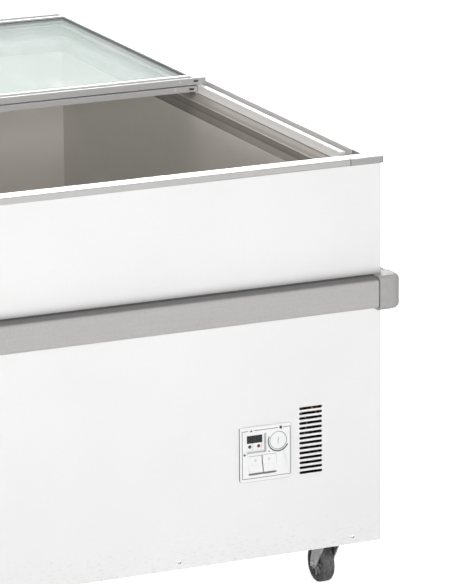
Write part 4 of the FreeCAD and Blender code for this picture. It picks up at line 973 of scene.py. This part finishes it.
def screw(shape, place, radius):
    """Pan head. place turns (a, b, out) into a point."""
    profile = [(0, 0), (1, 0), (1, 0.18), (0.86, 0.42), (0.55, 0.58), (0, 0.62)]
    turned(shape, [(r * radius, level * radius) for r, level in profile], place, 24)


def cross(shape, place, radius):
    """Cross recess of a pan head."""
    long, short, level = 0.52 * radius, 0.13 * radius, 0.63 * radius
    for a, b in ((long, short), (short, long)):
        prism(shape, oblong(-a, -b, a, b), 0.4 * radius, level, place)


SCREW_PARTS = (("screws", "zinc_steel", screw), ("screw_recesses", "dark_plastic", cross))


def panel_screws():
    """Screws along the foot of each wall."""
    body_low, body_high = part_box("control_end_panel")[0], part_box("far_end_panel")[1]
    up, radius = body_low.z + 14 * MM, 3.6 * MM
    ends, sides = (-0.36, 0.0, 0.36), (-0.68, -0.23, 0.23, 0.68)
    for suffix, slot, part in SCREW_PARTS:
        @piece("panel_" + suffix, slot)
        def fill(shape):
            for side in ("near", "far", "left", "right"):
                place = side_place(side, body_low, body_high)
                for along in sides if along_axis(side) else ends:
                    part(shape, lambda a, b, out: place(-out, along + a, up + b), radius)


# ---------------------------------------------------------------- lids

HEAD_FLATTEN, SCREW_INSET = 0.25, 30 * MM


def lid_details():
    """Glazing seals and end screws of both lids, whose flat heads clear the rim, and a pile strip on the upper
    lid.
    """
    for lid in ("upper_lid", "lower_lid"):
        glass_low, glass_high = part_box(lid + "_glass")
        left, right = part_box(lid + "_stile_left")[1].x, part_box(lid + "_stile_right")[0].x
        near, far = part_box(lid + "_end_near"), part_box(lid + "_end_far")
        width, height = 2.2 * MM, 0.9 * MM

        @piece(lid + "_glazing_seal", "castor_tyre", "black_rubber", body=lid, bevel=0.3 * MM)
        def gasket(shape):
            inner_near, inner_far = near[1].y, far[0].y
            for x0, x1, y0, y1 in ((left, left + width, inner_near, inner_far),
                                   (right - width, right, inner_near, inner_far),
                                   (left + width, right - width, inner_near, inner_near + width),
                                   (left + width, right - width, inner_far - width, inner_far)):
                outline = oblong(x0, y0, x1, y1)
                prism(shape, outline, glass_high.z, glass_high.z + height, from_above)
                prism(shape, outline, glass_low.z - height, glass_low.z, from_above)

        for suffix, slot, part in SCREW_PARTS:
            @piece(f"{lid}_{suffix}", slot, body=lid)
            def screws(shape):
                level = (near[0].z + near[1].z) / 2
                for x in (left + SCREW_INSET, right - SCREW_INSET):
                    for end, sign in ((near[0].y, -1), (far[1].y, 1)):
                        part(shape, lambda a, b, out:
                             Vector((x + a, end + sign * out * HEAD_FLATTEN, level + b)), 2.2 * MM)

    low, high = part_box("upper_lid_end_near")

    @piece("lid_pile_strip", "castor_tyre", "black_rubber", body="upper_lid")
    def pile(shape):
        step, drop, margin = 1.6 * MM, 1.6 * MM, 10 * MM
        for i in range(int((high.x - low.x - 2 * margin) / step)):
            x = low.x + margin + step * i
            lean = 0.3 * MM * math.sin(2.4 * i)
            outline = [(x, low.z), (x + 0.9 * step, low.z), (x + 0.8 * step + lean, low.z - drop),
                       (x + 0.1 * step + lean, low.z - drop)]
            prism(shape, outline, low.y + 4 * MM, low.y + 8 * MM, from_front)


# ---------------------------------------------------------------- machine bay

SHELL_RADIUS, WELD_HEIGHT = 78 * MM, 95 * MM
WIRE_COLOURS = {"grey": (0.30, 0.31, 0.32), "brown": (0.16, 0.08, 0.05), "blue": (0.06, 0.13, 0.28)}


def bay_details():
    """What can be glimpsed through the vents: thin pipes, wiring, fine fins and the compressor's seam."""
    low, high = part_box("condenser")
    middle, top = (low.x + high.x) / 2, high.z
    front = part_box("control_end_panel")[0].y
    offsets = [(-0.039, 0.024, 0.041), (-0.017, 0.012, 0.034), (0.005, 0.012, 0.010), (0.017, 0.016, -0.014),
               (0.013, 0.036, -0.030)]
    for number, (shift, radius) in enumerate(((0.005, 1.6 * MM), (0.014, 1.2 * MM)), start=1):
        points = [(middle + x + shift, front + y + shift / 2, top + z) for x, y, z in offsets]
        wire(f"capillary_tube_{number}", "cabinet", LOOKS["copper_tube"], points, radius)

    bends = [(-0.034, 0.020, 0.036), (-0.027, 0.017, 0.020), (-0.014, 0.018, 0.004), (-0.012, 0.030, -0.030)]
    points = [(middle + x, front + y, top + z) for x, y, z in bends]
    sleeve = tinted_ink("sensor_sleeve", (0.10, 0.10, 0.10))
    wire("sensor_tube", "cabinet", sleeve, points, 1.2 * MM)

    module_low, module_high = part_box("display_module")
    shell_low, shell_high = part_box("compressor")
    centre = Vector(((shell_low.x + shell_high.x) / 2, shell_high.y - SHELL_RADIUS, 0))
    for number, (name, colour) in enumerate(WIRE_COLOURS.items()):
        start = Vector((module_low.x + 0.006 * (1 + number), module_high.y, module_low.z + 0.01))
        end = Vector((centre.x - 0.01 + 0.008 * number, shell_low.y + 0.01, shell_low.z + 0.09))
        sag = Vector((0, 0.010, -0.018 - 0.004 * number))
        points = [start, start + Vector((-0.02, 0.012, 0.004)), start.lerp(end, 0.6) + sag, end]
        sleeve = tinted_ink("sleeve_" + name, colour)
        wire("wire_" + name, "cabinet", sleeve, points, 1.3 * MM)

    @piece("condenser_fine_fins", "condenser_metal")
    def fins(shape):
        pitch, thickness, inset, margin = 4.2 * MM, 0.3 * MM, 1 * MM, 28 * MM
        for i in range(int((high.x - low.x - 2 * margin) / pitch)):
            x = low.x + margin + pitch * i + 0.5 * MM * math.sin(1.7 * i)
            outline = oblong(x, low.y + inset, x + thickness, high.y - inset)
            prism(shape, outline, low.z + inset, high.z - inset, from_above)

    @piece("compressor_weld", "compressor_paint")
    def seam(shape):
        ring = [(SHELL_RADIUS - 1 * MM, -2 * MM), (SHELL_RADIUS + 1.4 * MM, -1 * MM),
                (SHELL_RADIUS + 1.4 * MM, 1 * MM), (SHELL_RADIUS - 1 * MM, 2 * MM)]
        level = shell_low.z + WELD_HEIGHT
        lathe(shape, ring, lambda a, b, up: centre + Vector((a, b, level + up)), 64)


def gland_nut():
    """Hexagon nut and clamping dome outside the gland's flange."""
    low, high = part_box("cable_gland")
    middle = (low + high) / 2

    def outwards(a, b, out):
        return Vector((high.x + out, middle.y + a, middle.z + b))

    @piece("gland_nut", "dark_plastic", bevel=0.4 * MM)
    def fill(shape):
        bore, flats, dome = 4.1, 11.5, 7.6
        lathe(shape, mm(*oblong(bore, 0, flats, 4.6)), outwards, 6)
        lathe(shape, mm((bore, 4), (dome, 4), (dome, 6), (dome - 2, 9), (bore, 9)), outwards, 32)


# ---------------------------------------------------------------- castors

CASTOR_TRAIL, BOLT_SPACING, SPOKES = 26 * MM, 31 * MM, 8


def castor_details():
    """Tyre, spokes, axle nuts, raceway ring and bolt heads of each castor."""
    for number in CASTORS:
        wheel_low, wheel_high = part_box(f"castor_wheel_{number}")
        centre = (wheel_low + wheel_high) / 2
        radius, half = (wheel_high.z - wheel_low.z) / 2, (wheel_high.x - wheel_low.x) / 2

        def across(a, b, out):
            return Vector((centre.x + out, centre.y + a, centre.z + b))

        @piece(f"tyre_{number}", "castor_tyre", body=f"wheel_{number}")
        def tyre(shape):
            skin, edge, tread = 0.15 * MM, 5 * MM, radius - 11 * MM
            flank = half + skin
            side = [(tread, flank), (tread + 1 * MM, flank + 0.5 * MM), (tread + 2.4 * MM, flank + 0.5 * MM),
                    (tread + 3.4 * MM, flank)]
            turn = [(radius - edge + (edge + skin) * math.sin(math.radians(t)),
                     half - edge + (edge + skin) * math.cos(math.radians(t))) for t in (0, 30, 60, 90)]
            seam = [(radius + skin, 0.5 * MM), (radius + skin + 0.25 * MM, 0)]
            profile = side + turn + seam
            lathe(shape, profile + [(r, -level) for r, level in profile[-2::-1]], across, 72)

        @piece(f"wheel_spokes_{number}", "dark_plastic", "nylon_hub", body=f"wheel_{number}")
        def ribs(shape):
            for sign in (-1, 1):
                for spoke in range(SPOKES):
                    turn = math.radians(360 / SPOKES * spoke)
                    cos, sin = math.cos(turn), math.sin(turn)
                    bar = mm(*oblong(9, -1.1, 25.6, 1.1))
                    outline = [(r * cos - s * sin, r * sin + s * cos) for r, s in bar]
                    levels = sorted((sign * (half - 4 * MM), sign * (half - 1.2 * MM)))
                    prism(shape, outline, *levels, across)

        fork_low, fork_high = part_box(f"castor_fork_{number}")

        @piece(f"axle_nuts_{number}", "zinc_steel", body=f"fork_{number}", bevel=0.3 * MM)
        def nuts(shape):
            for end, sign in ((fork_low.x, -1), (fork_high.x, 1)):
                foot = end - sign * 3 * MM
                lathe(shape, mm(*oblong(3.2, 0, 7, 2.6)),
                      lambda a, b, out: Vector((foot + sign * out, centre.y + a, centre.z + b)), 6)

        pivot = Vector((centre.x, centre.y, 0)) - Vector((0, CASTOR_TRAIL, 0))

        @piece(f"race_{number}", "zinc_steel", body=f"fork_{number}")
        def race(shape):
            r, top = 24 * MM, fork_high.z - 8 * MM
            profile = [(r - 7 * MM, top - 3 * MM), (r, top - 3 * MM), (r + 1.2 * MM, top - 1.5 * MM),
                       (r, top), (r - 7 * MM, top)]
            lathe(shape, profile, lambda a, b, z: Vector((pivot.x + a, pivot.y + b, z)), 48)

    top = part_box("base_tray")[0].z - 3 * MM

    @piece("castor_bolt_heads", "zinc_steel", bevel=0.3 * MM)
    def heads(shape):
        for number in CASTORS:
            wheel_low, wheel_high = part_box(f"castor_wheel_{number}")
            centre = (wheel_low + wheel_high) / 2
            for sign_x in (-1, 1):
                for sign_y in (-1, 1):
                    x = centre.x + sign_x * BOLT_SPACING
                    y = centre.y - CASTOR_TRAIL + sign_y * BOLT_SPACING
                    profile = mm((0, 0), (7.1, 0), (7.1, -4.6), (5.6, -5.2), (0, -5.2))
                    turned(shape, profile, lambda a, b, out: Vector((x + a, y + b, top + out)), 6)


# ---------------------------------------------------------------- light, floor and camera

WORLD_FILL, WORLD_LOW_GLOSS, WORLD_HIGH_GLOSS = 0.2, 0.6, 2.4
FLOOR_REACH = 30
# The view is held from the near right corner of the rim, which sits right of and above the picture's middle.
VIEW_AZIMUTH, VIEW_ELEVATION, VIEW_ROLL = 23.855, 14.903, -0.525
VIEW_DISTANCE, VIEW_LENS = 8.375, 276.07
CORNER_RIGHT, CORNER_UP = 0.2968, 0.2554


def make_light(name, azimuth, elevation, distance, size, power, aim):
    """A soft panel aimed at a point; azimuth 0 is in front of the control end, 90 on its right."""
    turn, lift = math.radians(azimuth), math.radians(elevation)
    direction = Vector((math.sin(turn) * math.cos(lift), -math.cos(turn) * math.cos(lift), math.sin(lift)))
    data = bpy.data.lights.new(name, "AREA")
    data.shape = "RECTANGLE"
    data.size, data.size_y = size
    data.energy = power
    light = bpy.data.objects.new(name, data)
    light.location = aim + distance * direction
    light.rotation_euler = direction.to_track_quat("Z", "Y").to_euler()
    bpy.context.scene.collection.objects.link(light)


def make_world():
    """White surround, dim on matt surfaces. In reflections it is brighter overhead than near the floor."""
    world = bpy.data.worlds.new("studio")
    world.use_nodes = True
    bpy.context.scene.world = world
    nodes = Nodes(world.node_tree)
    rays = nodes.add("LightPath").outputs
    height = nodes.add("SeparateXYZ", [("Vector", nodes.add("TexCoord").outputs["Generated"])]).outputs["Z"]
    gloss = nodes.spread(height, WORLD_LOW_GLOSS - 1, WORLD_HIGH_GLOSS - 1, 0.1, 0.24)
    dimmed = nodes.calc("MULTIPLY_ADD", rays["Is Diffuse Ray"], WORLD_FILL - 1, 1)
    background = world.node_tree.nodes["Background"]
    background.inputs["Color"].default_value = (1, 1, 1, 1)
    strength = nodes.calc("MULTIPLY_ADD", rays["Is Glossy Ray"], gloss, dimmed)
    nodes.feed(background.inputs["Strength"], strength)


def make_floor():
    floor = bpy.data.meshes.new("floor")
    reach = FLOOR_REACH
    corners = [(x, y, cad_low.z) for x, y in oblong(-reach, -reach, reach, reach)]
    floor.from_pydata(corners, [], [(0, 1, 2, 3)])
    floor.materials.append(pale_floor())
    item = bpy.data.objects.new("floor", floor)
    bpy.context.scene.collection.objects.link(item)


def make_camera():
    azimuth, elevation, roll = (math.radians(d) for d in (VIEW_AZIMUTH, VIEW_ELEVATION, VIEW_ROLL))
    back = Vector((-math.sin(azimuth) * math.cos(elevation), -math.cos(azimuth) * math.cos(elevation),
                   math.sin(elevation)))
    level = Vector((math.cos(azimuth), -math.sin(azimuth), 0))
    upright = back.cross(level)
    right = math.cos(roll) * level + math.sin(roll) * upright
    up = -math.sin(roll) * level + math.cos(roll) * upright
    low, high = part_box("rim_corner_caps")
    corner = Vector((high.x, low.y, high.z))
    place = corner - CORNER_RIGHT * right - CORNER_UP * up + VIEW_DISTANCE * back
    data = bpy.data.cameras.new("camera")
    data.lens = VIEW_LENS
    data.sensor_width = 36
    data.clip_end = 60
    camera = bpy.data.objects.new("camera", data)
    turn = Matrix((right, up, back)).transposed().to_4x4()
    camera.matrix_world = Matrix.Translation(place) @ turn
    bpy.context.scene.collection.objects.link(camera)
    bpy.context.scene.camera = camera


SOFT_EDGES = {
    0.5 * MM: [*("rim_" + side for side in SIDES), "rim_corner_caps", "lid_rail_left", "lid_rail_right",
               "control_bezel", "main_rocker", "light_rocker", "display_module", "base_tray"],
    1.0 * MM: ["castor_plates", *(f"castor_fork_{number}" for number in CASTORS)],
}
bpy.context.scene.view_settings.view_transform = "Standard"
dress_frame()
make_world()
make_floor()
middle = (cad_low + cad_high) / 2
make_light("key", -9, 12, 6.0, (3.0, 2.0), 199, middle)
make_light("well", 0, 90, 1.7, (0.9, 1.2), 8, middle)
make_light("left", -90, 3, 5.0, (2.5, 0.6), 70, Vector((middle.x, middle.y, cad_high.z)))
make_light("back", 165, 22, 5.0, (3.0, 1.2), 130, Vector((middle.x, middle.y, cad_high.z)))
make_camera()
for width, names in SOFT_EDGES.items():
    soften(names, width)
panel_print()
display_details()
bezel_painted_shade()
dial_slot()
rocker_marks()
cap_joints()
bumper_seals()
liner_flange()
ledge_noses()
rail_caps()
rail_feet()
rim_edges()
panel_screws()
lid_details()
bay_details()
gland_nut()
castor_details()
